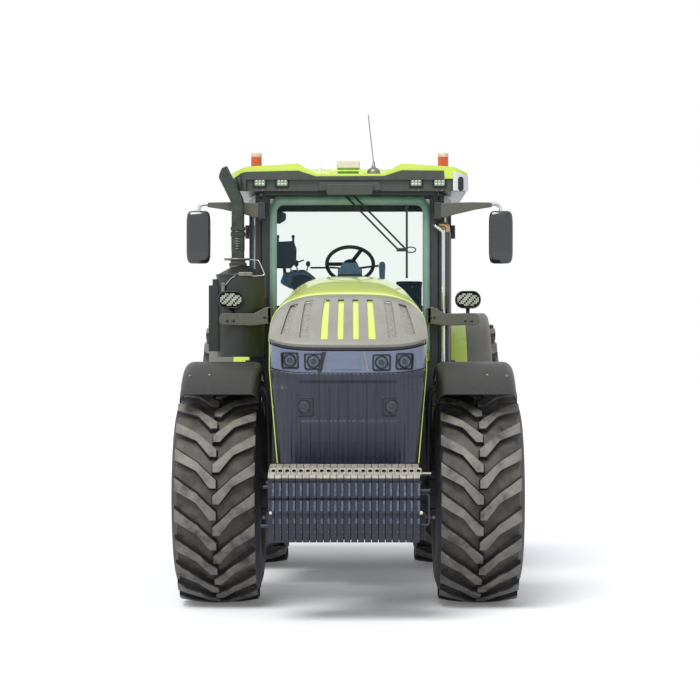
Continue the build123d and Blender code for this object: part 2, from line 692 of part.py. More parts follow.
hinge_post = block(-hinge_x - 14, hinge_x + 14, hinge_y - 60, hinge_y - 30, engine_top_z, hinge_z - 60)
hinge_post += block(-340, 340, hinge_y - 60, hinge_y - 30, engine_top_z, engine_top_z + 60)
for side in (-1, 1):
    arm = block(side * hinge_x - 14, side * hinge_x + 14, hinge_y - 60, hinge_y, hinge_z - 80, hinge_z)
    arm += rod_x(22, side * hinge_x - 14, side * hinge_x + 14, hinge_y, hinge_z)
    arm -= rod_x(hinge_pin_radius + pin_clearance, side * hinge_x - 20, side * hinge_x + 20, hinge_y, hinge_z)
    hinge_post += arm
add("bonnet_support", hinge_post)
frame_rest = block(-110, 110, nose_tip_y + 100, nose_tip_y + 150, frame_nose_top_z, nose_bottom_z - seat_gap)
nodes["chassis_frame"][0] += frame_rest

# ---- cab: floor, frame, glass ------------------------------------------------------------------
cab_rear_y = cab_front_y + cab_length
side_slope = (b_pillar_outer - a_pillar_outer) / (b_pillar_y - cab_front_y)
wide_end_y = b_pillar_y + 40
floor_outline = ring(
    (a_pillar_outer, cab_front_y), (b_pillar_outer, b_pillar_y), (b_pillar_outer, wide_end_y),
    (rear_fender_inner, wide_end_y), (rear_fender_inner, cab_rear_y), (-rear_fender_inner, cab_rear_y),
    (-rear_fender_inner, wide_end_y), (-b_pillar_outer, wide_end_y), (-b_pillar_outer, b_pillar_y),
    (-a_pillar_outer, cab_front_y))
floor = from_above(floor_outline, floor_z - floor_wall, floor_z)
firewall_top_z = windscreen_bottom_z - rail_height
floor += block(-a_pillar_inner, a_pillar_inner, cab_front_y, cab_front_y + 40, floor_z, firewall_top_z)
rear_rail_z = rear_z + rear_fender_radius + 10
floor += block(-rear_fender_inner, rear_fender_inner, cab_rear_y - 40, cab_rear_y, floor_z, rear_rail_z)
for x, y in [(x, y) for x in (-170, 170) for y in (cab_front_y + 200, cab_rear_y - 200)]:
    floor += rod_z(60, x, y, transmission_top_z, floor_z - floor_wall + 5)
add("cab_floor", floor)

ring_z = cab_top_z - rail_height
cab_bars = []
for side in (-1, 1):
    def across(inner, outer):
        return sorted((side * inner, side * outer))
    a_x = across(a_pillar_inner, a_pillar_outer)
    b_x = across(b_pillar_outer - pillar_depth, b_pillar_outer)
    cab_bars.append(block(*a_x, cab_front_y, cab_front_y + pillar_depth, floor_z, cab_top_z))
    cab_bars.append(block(*b_x, b_pillar_y, b_pillar_y + pillar_depth, floor_z, cab_top_z))
    cab_bars.append(block(*b_x, cab_rear_y - pillar_depth, cab_rear_y, rear_rail_z, cab_top_z))
    side_rail = ring((side * a_pillar_inner, cab_front_y + 10), (side * a_pillar_outer, cab_front_y + 10),
                     (side * b_pillar_outer, b_pillar_y + 10), (side * b_pillar_outer, cab_rear_y - 10),
                     (side * (b_pillar_outer - pillar_depth), cab_rear_y - 10),
                     (side * (b_pillar_outer - pillar_depth), b_pillar_y + 10))
    cab_bars.append(from_above(side_rail, ring_z, cab_top_z))
for y, half in ((cab_front_y, a_pillar_outer), (cab_rear_y - pillar_depth, b_pillar_outer)):
    cab_bars.append(block(10 - half, half - 10, y, y + pillar_depth, ring_z, cab_top_z))
cab_bars.append(block(-a_pillar_outer + 10, a_pillar_outer - 10, cab_front_y, cab_front_y + pillar_depth,
                      firewall_top_z, windscreen_bottom_z))
cab_bars.append(block(-b_pillar_outer + 10, b_pillar_outer - 10, cab_rear_y - pillar_depth, cab_rear_y,
                      rear_rail_z, rear_rail_z + rail_height))
cab_frame = cab_bars[0]
for bar in cab_bars[1:]:
    cab_frame += bar
add("cab_frame", cab_frame)


def bowed_pane(half, edge_y, bow, z0, z1):
    """A pane that bows forward between its upright edges."""
    outline = [
        ThreePointArc((-half, edge_y), (0, edge_y - bow), (half, edge_y)),
        Line((half, edge_y), (half, edge_y - glass_wall)),
        ThreePointArc((half, edge_y - glass_wall), (0, edge_y - glass_wall - bow), (-half, edge_y - glass_wall)),
        Line((-half, edge_y - glass_wall), (-half, edge_y)),
    ]
    return from_above(outline, z0, z1)


add("windscreen", bowed_pane(a_pillar_inner + glass_lap, cab_front_y, windscreen_bow, windscreen_bottom_z, cab_top_z - 10))
rear_pane = block(-b_pillar_outer + 12, b_pillar_outer - 12, cab_rear_y, cab_rear_y + glass_wall,
                  rear_rail_z + 10, cab_top_z - 10)
add("rear_windows", rear_pane)
window_front_y = b_pillar_y + pillar_depth
window_rear_y = cab_rear_y - pillar_depth
window_radius = rear_fender_radius + seat_gap


def sill(y):
    """The height at which the quarter window meets the rear fender."""
    reach = min(abs(rear_axle_y - y), 0.97 * window_radius)
    return rear_z + sqrt(window_radius ** 2 - reach ** 2)


middle_y = (window_front_y + window_rear_y) / 2
front_sill_z, middle_sill_z, rear_sill_z = sill(window_front_y), sill(middle_y), sill(window_rear_y)
quarter_outline = [
    ThreePointArc((window_front_y, front_sill_z), (middle_y, middle_sill_z), (window_rear_y, rear_sill_z)),
    Line((window_rear_y, rear_sill_z), (window_rear_y, ring_z)),
    Line((window_rear_y, ring_z), (window_front_y, ring_z)),
    Line((window_front_y, ring_z), (window_front_y, front_sill_z)),
]
quarter_pane = from_side(quarter_outline, b_pillar_outer - 10 - glass_wall, b_pillar_outer - 10)
add("rear_windows", quarter_pane, right_of(quarter_pane))

# ---- doors, hinged on the middle pillars -------------------------------------------------------
door_high_z = cab_top_z - 20
hinge_offset = door_gap + door_wall + hinge_stand
door_turn = -degrees(atan(side_slope))
stretch = sqrt(1 + side_slope ** 2)
door_hinge_x = b_pillar_outer + 20 * side_slope + hinge_offset / stretch
door_hinge_y = b_pillar_y + 20 - hinge_offset * side_slope / stretch
door_place = Pos(door_hinge_x, door_hinge_y, 0) * Rot(0, 0, door_turn)
door_skin_x = -hinge_stand
door_slab = block(door_skin_x - door_wall, door_skin_x, -door_length, -door_edge, door_low_z, door_high_z)
door_hole = block(door_skin_x - door_wall - 1, door_skin_x + 1, -door_length + door_frame, -door_edge - door_frame,
                  door_low_z + door_frame, door_high_z - door_frame)
door_slab -= door_hole
for z in (door_low_z + 200, door_high_z - 250):
    door_slab += block(door_skin_x - 8, door_hinge_radius, -door_edge - 30, 0, z, z + 60)
    door_slab += rod_z(door_hinge_radius, 0, 0, z, z + 60)
    door_slab += rod_z(door_pin_radius, 0, 0, z - 40, z + 1)
    for side in (-1, 1):
        leaf = block(side * (b_pillar_outer - 5), side * door_hinge_x, door_hinge_y - door_hinge_radius,
                     door_hinge_y + door_hinge_radius, z - 40, z - 1)
        leaf += rod_z(door_hinge_radius, side * door_hinge_x, door_hinge_y, z - 40, z - 1)
        leaf -= rod_z(door_pin_radius + pin_clearance, side * door_hinge_x, door_hinge_y, z - 50, z + 10)
        cab_frame += leaf
nodes["cab_frame"] = [cab_frame]
door_slab += block(door_skin_x, door_skin_x + 26, -door_length + 8, -door_length + 40, 1980, 2140)
pane_x = door_skin_x - door_wall / 2
door_pane = block(pane_x - glass_wall / 2, pane_x + glass_wall / 2, -door_length + door_frame, -door_edge - door_frame,
                  door_low_z + door_frame, door_high_z - door_frame)
left_door = door_place * door_slab
left_pane = door_place * door_pane
add("door_left", left_door)
add("door_right", right_of(left_door))
add("door_glass_left", left_pane)
add("door_glass_right", right_of(left_pane))

# ---- roof --------------------------------------------------------------------------------------
roof_profile = ring(
    (-roof_half_width, roof_seam_z), (-roof_half_width + 10, roof_seam_z + 45), (-760, roof_crown_z - 24),
    (-380, roof_crown_z), (380, roof_crown_z), (760, roof_crown_z - 24),
    (roof_half_width - 10, roof_seam_z + 45), (roof_half_width, roof_seam_z))


def roof_plan(inset, corner=140):
    """The roof's rounded outline from above."""
    width = 2 * (roof_half_width - inset)
    depth = roof_rear_y - roof_front_y - 2 * inset
    return Pos(0, (roof_front_y + roof_rear_y) / 2) * RectangleRounded(width, depth, corner)


roof_form = from_front(roof_profile, roof_front_y, roof_rear_y)
roof_form &= extrude(Plane.XY.offset(roof_seam_z - 5) * roof_plan(0), roof_crown_z - roof_seam_z + 20)
recess = from_side(ring((roof_front_y - 10, roof_recess_z), (roof_front_y + 380, roof_recess_z),
                        (roof_front_y + 560, roof_crown_z + 5), (roof_front_y - 10, roof_crown_z + 5)), -380, 380)
recess &= from_front(ring((-245, roof_recess_z), (245, roof_recess_z), (380, roof_crown_z + 1),
                          (-380, roof_crown_z + 1)), roof_front_y - 10, roof_front_y + 560)
add("roof_panel", roof_form - recess)
add("roof_base", extrude(Plane.XY.offset(cab_top_z) * roof_plan(14, 126), roof_seam_z - cab_top_z))

# ---- rear fenders ------------------------------------------------------------------------------
fender_inner_r = rear_fender_radius - fender_wall
fender_outline = ring(
    (rear_fender_inner, 720), (rear_fender_inner + fender_wall, 720),
    (rear_fender_inner + fender_wall, fender_inner_r), (rear_fender_split, fender_inner_r),
    (rear_fender_split, rear_fender_radius), (rear_fender_inner, rear_fender_radius))
fender_place = Pos(0, rear_axle_y, rear_z) * Rot(rear_fender_rear, 0, 0)
fender_arc = rear_fender_front - rear_fender_rear
rear_fender = fender_place * revolve(make_face(fender_outline), Axis.X, revolution_arc=fender_arc)
add("rear_fender_left", rear_fender)
add("rear_fender_right", right_of(rear_fender))
extension_section = fender_section(rear_fender_split - 60, rear_fender_outer, rear_fender_radius, 70, 40, fender_wall)
extension_section -= Pos(rear_fender_split - 60, rear_fender_radius) * Rectangle(120, 400)
extension = fender_place * revolve(extension_section, Axis.X, revolution_arc=fender_arc)
add("fender_extensions", extension, right_of(extension))

# ---- tanks and steps beside the transmission ---------------------------------------------------
tank_section = fillet((Pos((transmission_half_width + tank_outer_x) / 2, (tank_low_z + tank_top_z) / 2)
                       * Rectangle(tank_outer_x - transmission_half_width, tank_top_z - tank_low_z))
                      .vertices().group_by(Axis.X)[-1], 60)
tank = extrude(Plane.XZ.offset(-tank_rear_y) * tank_section, tank_rear_y - tank_front_y)
add("fuel_tank", tank)
add("battery_box", right_of(tank))
step_front_y = cab_front_y + 60
step_rear_y = step_front_y + step_width
step_parts = []
for y in (step_front_y, step_rear_y - step_wall):
    plate = from_front(ring((tank_outer_x, step_high_z + 60), (tank_outer_x + 100, step_high_z + 60),
                            (step_outer_x, step_low_z + 20), (step_outer_x, step_low_z - 20),
                            (step_outer_x - step_tread - 40, step_low_z - 20),
                            (tank_outer_x, step_low_z + 250)), y, y + step_wall)
    step_parts.append(plate)
for step in range(step_count):
    rise = step / (step_count - 1)
    outer = step_outer_x - step_lean * rise - 10
    z = step_low_z + (step_high_z - step_low_z) * rise
    step_parts.append(block(outer - step_tread, outer, step_front_y + 5, step_rear_y - 5, z, z + 25))
cab_steps = step_parts[0]
for step_part in step_parts[1:]:
    cab_steps += step_part
cab_steps -= block(0, tank_outer_x, step_front_y - 1, step_rear_y + 1, 300, 1400)
add("cab_steps", cab_steps)

# ---- exhaust on the right-hand front corner of the cab -----------------------------------------
canister = rod_z(canister_radius, canister_x, canister_y, canister_low_z, canister_top_z)
canister += Pos(canister_x, canister_y, canister_top_z) * Cone(canister_radius, 60, 68, align=(
    Align.CENTER, Align.CENTER, Align.MIN))
canister += block(canister_x + 70, canister_x + 130, tank_front_y - 40, tank_front_y + 60,
                  tank_top_z, canister_low_z + 20)
canister += block(-tank_outer_x + 70, canister_x + 70, tank_front_y, tank_front_y + 60, tank_top_z, tank_top_z + 40)
shield_x = canister_x - canister_radius
canister += block(shield_x - shield_reach, canister_x - 100, canister_y - 70, canister_y + 70,
                  canister_low_z + 40, canister_top_z - 75)
canister += block(shield_x - shield_reach / 2, canister_x - 100, canister_y - 50, canister_y + 50,
                  canister_top_z - 76, canister_top_z - 30)
add("exhaust_canister", canister)
pipe_low_z = canister_top_z + 68
tip_x = exhaust_pipe_x - 120
stack_path = ((exhaust_pipe_x, canister_y, pipe_low_z), (exhaust_pipe_x, canister_y, exhaust_tip_z - 210),
              (tip_x, canister_y, exhaust_tip_z + 30))
stack = tube(exhaust_pipe_radius, 150, *stack_path)
stack += rod_z(exhaust_pipe_radius + 18, exhaust_pipe_x, canister_y, pipe_low_z, pipe_low_z + 20)
for drop in (0, 42):
    stack += rod_z(exhaust_pipe_radius + 7, exhaust_pipe_x, canister_y, exhaust_clamp_z - drop - 12, exhaust_clamp_z - drop + 12)
slash = Pos(tip_x, canister_y, exhaust_tip_z) * Rot(-24, -62, 0) * Pos(0, 0, 150) * Box(400, 400, 300)
stack -= slash
stack -= tube(exhaust_pipe_radius - exhaust_pipe_wall, 150, (exhaust_pipe_x, canister_y, exhaust_tip_z - 420),
              (exhaust_pipe_x, canister_y, exhaust_tip_z - 210), (tip_x, canister_y, exhaust_tip_z + 31))
add("exhaust_stack", stack)

# ---- lamps, mirrors, beacons, antennas ---------------------------------------------------------
for side in (-1, 1):
    bracket = block(side * bracket_inner_x, side * bracket_outer_x, bracket_front_y,
                    bracket_front_y + 20, bracket_z, bracket_z + bracket_height)
    bracket += block(side * bracket_inner_x, side * (bracket_inner_x + 30), bracket_front_y,
                     cab_front_y - 60, bracket_z, bracket_z + bracket_height)
    bracket += block(side * bracket_inner_x, side * a_pillar_outer, cab_front_y - 60, cab_front_y - 40,
                     bracket_z, bracket_z + bracket_height)
    bracket += block(side * (a_pillar_outer - 6), side * a_pillar_outer, cab_front_y - 50, cab_front_y,
                     bracket_z, bracket_z + bracket_height)
    add("lamp_brackets", bracket)
    oval = Plane.XZ.offset(-bracket_front_y - 35) * SlotOverall(oval_lamp_width, oval_lamp_height)
    lamp_base_z = bracket_z + bracket_height
    lamp = Pos(side * oval_lamp_x, 0, lamp_base_z + 8 + oval_lamp_height / 2) * extrude(oval, 80)
    lamp += block(side * oval_lamp_x - 15, side * oval_lamp_x + 15, bracket_front_y, bracket_front_y + 20,
                  lamp_base_z, lamp_base_z + 20)
    add("work_lamps", lamp)
    for x in (490, 657):
        add("work_lamps", block(side * x - 43, side * x + 43, roof_front_y - 30, roof_front_y + 14,
                                2920, 3000 - 20))
    arm = from_front(ring((side * (a_pillar_outer), mirror_arm_z - 45), (side * (a_pillar_outer), mirror_arm_z + 45),
                          (side * mirror_centre_x, mirror_arm_z + 45), (side * mirror_centre_x, mirror_arm_z + 10)),
                     mirror_y - 15, mirror_y + 15)
    arm += block(side * (a_pillar_outer - 30), side * a_pillar_outer, mirror_y - 15, cab_front_y,
                 mirror_arm_z - 45, mirror_arm_z + 45)
    arm += rod_z(12, side * (mirror_centre_x - 14), mirror_y, mirror_top_z - 10, mirror_arm_z + 30)
    head_face = Plane.XZ.offset(-mirror_y - 35) * (Pos(side * mirror_centre_x, (mirror_low_z + mirror_top_z) / 2)
                                                   * RectangleRounded(mirror_width, mirror_top_z - mirror_low_z, 45))
    arm += extrude(head_face, 70)
    add("mirrors", arm)
    beacon = rod_z(beacon_radius, side * beacon_x, roof_front_y + 170, roof_seam_z + 60, beacon_top_z)
    beacon -= nodes["roof_panel"][0]
    add("beacons", beacon)

receiver_y = roof_front_y + 40
receiver = block(-97, 75, receiver_y, receiver_y + 170, roof_recess_z + 44, roof_recess_z + 102)
receiver += block(-70, 50, receiver_y + 20, receiver_y + 150, roof_recess_z, roof_recess_z + 50)
whip = rod_z(28, antenna_x, receiver_y + 60, roof_recess_z, roof_recess_z + 50)
whip += rod_z(4, antenna_x, receiver_y + 60, roof_recess_z + 50, antenna_top_z)
add("roof_antennas", receiver, whip)

handrail_y = cab_front_y - 45
handrail_x = a_pillar_outer + 40
handrail_foot_x = a_pillar_outer - 22
add("handrails", tube(16, 20, (handrail_foot_x, cab_front_y, 2650), (handrail_foot_x, handrail_y, 2650),
                      (handrail_x, handrail_y, 2600), (handrail_x, handrail_y, 1520),
                      (handrail_foot_x, handrail_y, 1470), (handrail_foot_x, cab_front_y, 1470)))
wiper_y = cab_front_y - windscreen_bow - 30
wiper_parts = [tube(7, 8, (x, wiper_y, cab_top_z - 5), (x, wiper_y, cab_top_z - 30), (x + 385, wiper_y, 2470))
               for x in (-30, 30)]
wiper = wiper_parts[0] + wiper_parts[1]
wiper += block(345, 425, wiper_y - 8, wiper_y + 8, 2455, 2480)
wiper += block(412, 428, wiper_y - 8, wiper_y + 8, 2258, 2800)
wiper += block(-45, 45, wiper_y - 8, cab_front_y - windscreen_bow - glass_wall, cab_top_z - 24, cab_top_z)
add("wiper", wiper)

# ---- inside the cab ----------------------------------------------------------------------------
seat = block(-230, 230, seat_y - 240, seat_y + 240, seat_top_z - 110, seat_top_z)
seat += block(-225, 225, seat_y + 180, seat_y + 290, seat_top_z - 110, seat_back_top_z)
seat += block(-170, 170, seat_y - 150, seat_y + 170, floor_z, seat_top_z - 110)
side_seat = block(340, 580, seat_y + 40, seat_y + 100, 1980, 2290)
side_seat += block(340, 580, seat_y - 260, seat_y + 100, 1930, 1980)
add("operator_seat", seat)
add("passenger_seat", side_seat)

tilt = radians(steering_wheel_tilt)
wheel_axis = (0, sin(tilt), cos(tilt))
wheel_centre = (0, steering_wheel_y, steering_wheel_z)
wheel_plane = Plane(origin=wheel_centre, z_dir=wheel_axis)
wheel_rim = Torus(steering_wheel_radius - 14, 14)
steering_wheel = wheel_rim + Cylinder(34, 40)
for turn in (90, 210, 330):
    steering_wheel += Rot(0, 0, turn) * Pos(steering_wheel_radius / 2, 0, 0) * Box(steering_wheel_radius - 40, 28, 12)
shaft_radius = 12
steering_wheel -= Pos(0, 0, -10) * Cylinder(shaft_radius + pin_clearance, 20)
add("steering_wheel", wheel_plane * steering_wheel)

column = wheel_plane * (Pos(0, 0, -20 - moving_gap - 30) * Cylinder(40, 60)
                        + Pos(0, 0, -25.5) * Cylinder(shaft_radius, 50))
column += block(-100, 100, steering_wheel_y - 200, steering_wheel_y - 50, floor_z, 2300)
column += wheel_plane * Pos(0, 0, -140) * Cylinder(46, 130)
add("cab_consoles", column)
armrest = block(-520, -290, seat_y - 330, seat_y + 120, 2110, 2190)
armrest += block(-420, -360, seat_y - 60, seat_y + 40, floor_z, 2120)
armrest += rod_z(12, -380, seat_y - 250, 2190, 2290)
monitor = block(-583, -420, seat_y - 420, seat_y - 395, 2350, 2570)
monitor += block(-520, -490, seat_y - 395, seat_y - 375, 2150, 2560)
monitor += block(-520, -490, seat_y - 395, seat_y - 320, 2140, 2170)
add("cab_consoles", armrest + monitor)
add("cab_consoles", block(350, 440, seat_y - 200, seat_y + 60, floor_z, 1930))

# ---- rear linkage ------------------------------------------------------------------------------
hitch = block(-transmission_half_width, transmission_half_width, transmission_rear_y, transmission_rear_y + 40,
              drawbar_z - 40, transmission_top_z)
hitch += block(-40, 40, transmission_rear_y, rear_axle_y + 860, drawbar_z - 20, drawbar_z + 20)
hitch += rod_z(60, 0, rear_axle_y + 860, drawbar_z - 20, drawbar_z + 20)
hitch -= rod_z(drawbar_bore, 0, rear_axle_y + 860, drawbar_z - 30, drawbar_z + 30)
hitch += rod_y(pto_radius, 0, transmission_rear_y + 30, transmission_rear_y + 160, pto_z)
nodes["rear_hitch"] = [hitch]

# ---- lower links, lift arms, lift rods and top link --------------------------------------------
link_ball_y = rear_axle_y + hitch_reach - link_eye_radius
links = None
for side in (-1, 1):
    front = (side * link_pivot_x, link_pivot_y)
    back = (side * link_ball_x, link_ball_y)
    half = link_width / 2
    bar = from_above(ring((front[0] - half, front[1]), (front[0] + half, front[1]),
                          (back[0] + half, back[1] - 20), (back[0] - half, back[1] - 20)), link_z - 42, link_z + 42)
    bar += rod_x(55, front[0] - half, front[0] + half, front[1], link_z)
    bar += rod_x(link_eye_radius, back[0] - half, back[0] + half, back[1], link_z)
    bar -= rod_x(link_ball_bore, back[0] - half - 5, back[0] + half + 5, back[1], link_z)
    bar -= rod_x(link_pin_radius + pin_clearance, front[0] - half - 5, front[0] + half + 5, front[1], link_z)
    links = bar if links is None else links + bar
pin = rod_x(link_pin_radius, -link_pivot_x - 40, link_pivot_x + 40, link_pivot_y, link_z)
bracket_out = link_pivot_x - link_width / 2 - moving_gap
hitch = nodes["rear_hitch"][0]
hitch += pin
for side in (-1, 1):
    hitch += block(side * (bracket_out - 30), side * bracket_out, transmission_rear_y, link_pivot_y + 40,
                   link_z - 60, link_z + 60)
add("lower_links", links)

shaft_half = lift_arm_x + 25
hitch += block(-180, 180, transmission_rear_y - 200, rockshaft_y + 70, transmission_top_z, rockshaft_z + 90)
hitch -= rod_x(rockshaft_radius + pin_clearance, -200, 200, rockshaft_y, rockshaft_z)
arm_y = rockshaft_y + lift_arm_length * cos(radians(15))
arm_z = rockshaft_z - lift_arm_length * sin(radians(15))
lift_pin_radius = 16
lift = rod_x(rockshaft_radius, -shaft_half, shaft_half, rockshaft_y, rockshaft_z)
for side in (-1, 1):
    x0 = side * (lift_arm_x - 25)
    x1 = side * (lift_arm_x + 25)
    lift += rod_x(75, x0, x1, rockshaft_y, rockshaft_z)
    lift += from_side(ring((rockshaft_y, rockshaft_z + 70), (rockshaft_y - 30, rockshaft_z - 60),
                           (arm_y - 10, arm_z - 34), (arm_y + 10, arm_z + 34)), min(x0, x1), max(x0, x1))
    lift += rod_x(36, x0, x1, arm_y, arm_z)
    lift += rod_x(lift_pin_radius, side * lift_arm_x, side * (lift_arm_x + 75), arm_y, arm_z)
add("lift_arms", lift)
lift_foot_y = link_pivot_y + lift_reach
rods = None
link_out_x = link_pivot_x + (link_ball_x - link_pivot_x) * (lift_reach + 40) / (link_ball_y - link_pivot_y)
rod_x_place = link_out_x + link_width / 2 + moving_gap + 16
for side in (-1, 1):
    x = side * rod_x_place
    bar = from_side(ring((arm_y - 16, arm_z), (arm_y + 16, arm_z), (lift_foot_y + 16, link_z),
                         (lift_foot_y - 16, link_z)), x - 14, x + 14)
    bar += rod_x(30, x - 16, x + 16, arm_y, arm_z)
    bar += rod_x(30, x - 16, x + 16, lift_foot_y, link_z)
    bar -= rod_x(lift_pin_radius + pin_clearance, x - 20, x + 20, arm_y, arm_z)
    rods = bar if rods is None else rods + bar
add("lift_rods", rods)
nodes["rear_hitch"] = [hitch]

# The top link reaches back over the lower links.
top_link_y = transmission_rear_y + 95
top_link_z = transmission_top_z - 90
top_link_lean = radians(top_link_rise)
top_link_end = (0, top_link_y + top_link_length * cos(top_link_lean), top_link_z + top_link_length * sin(top_link_lean))
top_link = tube(24, 1, (0, top_link_y, top_link_z), top_link_end)
top_link += rod_x(40, -22, 22, top_link_y, top_link_z)
top_link += rod_x(40, -top_link_eye_half, top_link_eye_half, top_link_end[1], top_link_end[2])
top_link -= rod_x(top_pin_radius + pin_clearance, -30, 30, top_link_y, top_link_z)
top_link -= rod_x(top_link_bore, -30, 30, top_link_end[1], top_link_end[2])
add("top_link", top_link)
for side in (-1, 1):
    hitch += block(side * (22 + moving_gap), side * (46 + moving_gap), transmission_rear_y + 40, top_link_y + 40,
                   top_link_z - 45, top_link_z + 45)
hitch += rod_x(top_pin_radius, -70, 70, top_link_y, top_link_z)
nodes["rear_hitch"] = [hitch]

for name, shapes in nodes.items():
    whole = shapes[0] if len(shapes) == 1 else Compound(children=[s for shape in shapes for s in shape.solids()])
    whole.label = name
    export_step(whole, f"parts/{name}.step")
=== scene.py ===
"""Farm tractor: the finishes and the finer pieces around the fixed solid model."""
import math

import bmesh
import bpy
from mathutils import Matrix, Vector


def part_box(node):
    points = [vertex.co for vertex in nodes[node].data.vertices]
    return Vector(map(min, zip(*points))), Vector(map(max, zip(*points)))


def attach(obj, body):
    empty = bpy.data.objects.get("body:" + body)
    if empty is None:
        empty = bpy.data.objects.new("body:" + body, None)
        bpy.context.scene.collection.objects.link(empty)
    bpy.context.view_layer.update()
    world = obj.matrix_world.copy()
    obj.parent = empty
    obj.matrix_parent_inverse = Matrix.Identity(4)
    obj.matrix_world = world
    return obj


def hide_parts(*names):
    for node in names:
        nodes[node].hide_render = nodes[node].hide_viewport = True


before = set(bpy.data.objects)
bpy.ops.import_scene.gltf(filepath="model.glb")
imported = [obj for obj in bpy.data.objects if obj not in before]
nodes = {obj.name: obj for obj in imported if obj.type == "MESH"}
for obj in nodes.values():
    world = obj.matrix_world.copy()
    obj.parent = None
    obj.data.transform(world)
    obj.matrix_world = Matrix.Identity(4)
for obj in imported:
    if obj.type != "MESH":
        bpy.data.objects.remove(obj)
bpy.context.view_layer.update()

# ---- camera ------------------------------------------------------------------------------------
# A long lens stands level in front of the nose, a little to the tractor's left.
# The picture is shifted slightly so that the tractor sits in its middle.
camera_data = bpy.data.cameras.new("camera")
camera_data.lens = 118.3
camera_data.shift_x = -0.019
camera_data.clip_end = 200
camera = bpy.data.objects.new("camera", camera_data)
camera.location = (0.1, -17.1, 1.73)
camera.rotation_euler = (math.radians(90), 0, 0)
bpy.context.scene.collection.objects.link(camera)
bpy.context.scene.camera = camera


def linear(hex_code):
    """The linear colour of an sRGB hex value."""
    shares = [int(hex_code[i:i + 2], 16) / 255 for i in (1, 3, 5)]
    return [s / 12.92 if s <= 0.04045 else ((s + 0.055) / 1.055) ** 2.4 for s in shares] + [1]


def add_node(tree, kind, inputs={}, links={}, **settings):
    """Adds one shader node, with its settings, socket values and links."""
    made = tree.nodes.new("ShaderNode" + kind)
    for name, value in settings.items():
        setattr(made, name, value)
    for name, value in inputs.items():
        made.inputs[name].default_value = value
    for name, source in links.items():
        tree.links.new(source, made.inputs[name])
    return made


# ---- floor, world and lamps --------------------------------------------------------------------
# A plain white studio floor that keeps the soft shadow of the tractor.
# It looks white to the camera, in reflections and through the glass, and lights the tractor softly.
floor_mesh = bpy.data.meshes.new("floor")
floor_mesh.from_pydata([(-60, -60, 0), (60, -60, 0), (60, 90, 0), (-60, 90, 0)], [], [(0, 1, 2, 3)])
floor = bpy.data.objects.new("floor", floor_mesh)
bpy.context.scene.collection.objects.link(floor)
floor_paint = bpy.data.materials.new("studio_floor")
floor_paint.use_nodes = True
tree = floor_paint.node_tree
tree.nodes.clear()
ray = add_node(tree, "LightPath")
seen = add_node(tree, "Math", operation="MAXIMUM",
                links={0: ray.outputs["Is Camera Ray"], 1: ray.outputs["Is Glossy Ray"]})
seen = add_node(tree, "Math", operation="MAXIMUM",
                links={0: seen.outputs[0], 1: ray.outputs["Is Transmission Ray"]})
matt = add_node(tree, "BsdfDiffuse", {"Color": linear("#C8C8C8")})
white = add_node(tree, "BsdfDiffuse", {"Color": linear("#FFFFFF")})
glow = add_node(tree, "Emission", {"Color": linear("#FFFFFF"), "Strength": 0.12})
bright = add_node(tree, "AddShader", links={0: white.outputs[0], 1: glow.outputs[0]})
mixed = add_node(tree, "MixShader", links={"Fac": seen.outputs[0], 1: matt.outputs[0],
                                           2: bright.outputs[0]})
add_node(tree, "OutputMaterial", links={"Surface": mixed.outputs[0]})
floor_mesh.materials.append(floor_paint)

world = bpy.data.worlds.new("studio")
bpy.context.scene.world = world
world.use_nodes = True
tree = world.node_tree
tree.nodes.clear()
ray = add_node(tree, "LightPath")
seen = add_node(tree, "Math", operation="MAXIMUM",
                links={0: ray.outputs["Is Camera Ray"], 1: ray.outputs["Is Glossy Ray"]})
seen = add_node(tree, "Math", operation="MAXIMUM",
                links={0: seen.outputs[0], 1: ray.outputs["Is Transmission Ray"]})
room = add_node(tree, "Background", {"Color": linear("#E9EEF6"), "Strength": 0.62})
backdrop = add_node(tree, "Background", {"Color": linear("#FFFFFF"), "Strength": 1.0})
mixed = add_node(tree, "MixShader", links={"Fac": seen.outputs[0], 1: room.outputs[0],
                                           2: backdrop.outputs[0]})
add_node(tree, "OutputWorld", links={"Surface": mixed.outputs[0]})

sun_data = bpy.data.lights.new("high_lamp", "SUN")
sun_data.energy = 2.1
sun_data.angle = math.radians(28)
sun = bpy.data.objects.new("high_lamp", sun_data)
sun.rotation_euler = (math.radians(38), 0, math.radians(-22))
bpy.context.scene.collection.objects.link(sun)
bpy.context.scene.view_settings.view_transform = "Standard"

# ---- finishes of the solid pieces --------------------------------------------------------------
# Paints, mouldings and castings: each is two close shades in patches of a real size, a fine bump
# and, where it lies open to the weather, a little pale dust on what faces up.


def new_finish(name):
    """A material with an empty tree, and its tree."""
    made = bpy.data.materials.new(name)
    made.use_nodes = True
    made.node_tree.nodes.clear()
    return made, made.node_tree


def patches(tree, grain_mm):
    """Soft patches about a grain wide, from 0 to 1."""
    place = add_node(tree, "TexCoord").outputs["Object"]
    patch = add_node(tree, "TexNoise", {"Scale": 250 / grain_mm, "Detail": 6.0, "Roughness": 0.6},
                     {"Vector": place})
    return add_node(tree, "MapRange", {"From Min": 0.3, "From Max": 0.7},
                    {"Value": patch.outputs[0]}).outputs[0]


def mixed_colour(tree, share, low, high):
    """A colour between two, each a hex value or a socket."""
    blend = add_node(tree, "Mix", data_type="RGBA", links={"Factor": share})
    for socket, colour in ((blend.inputs[6], low), (blend.inputs[7], high)):
        if isinstance(colour, str):
            socket.default_value = linear(colour)
        else:
            tree.links.new(colour, socket)
    return blend.outputs[2]


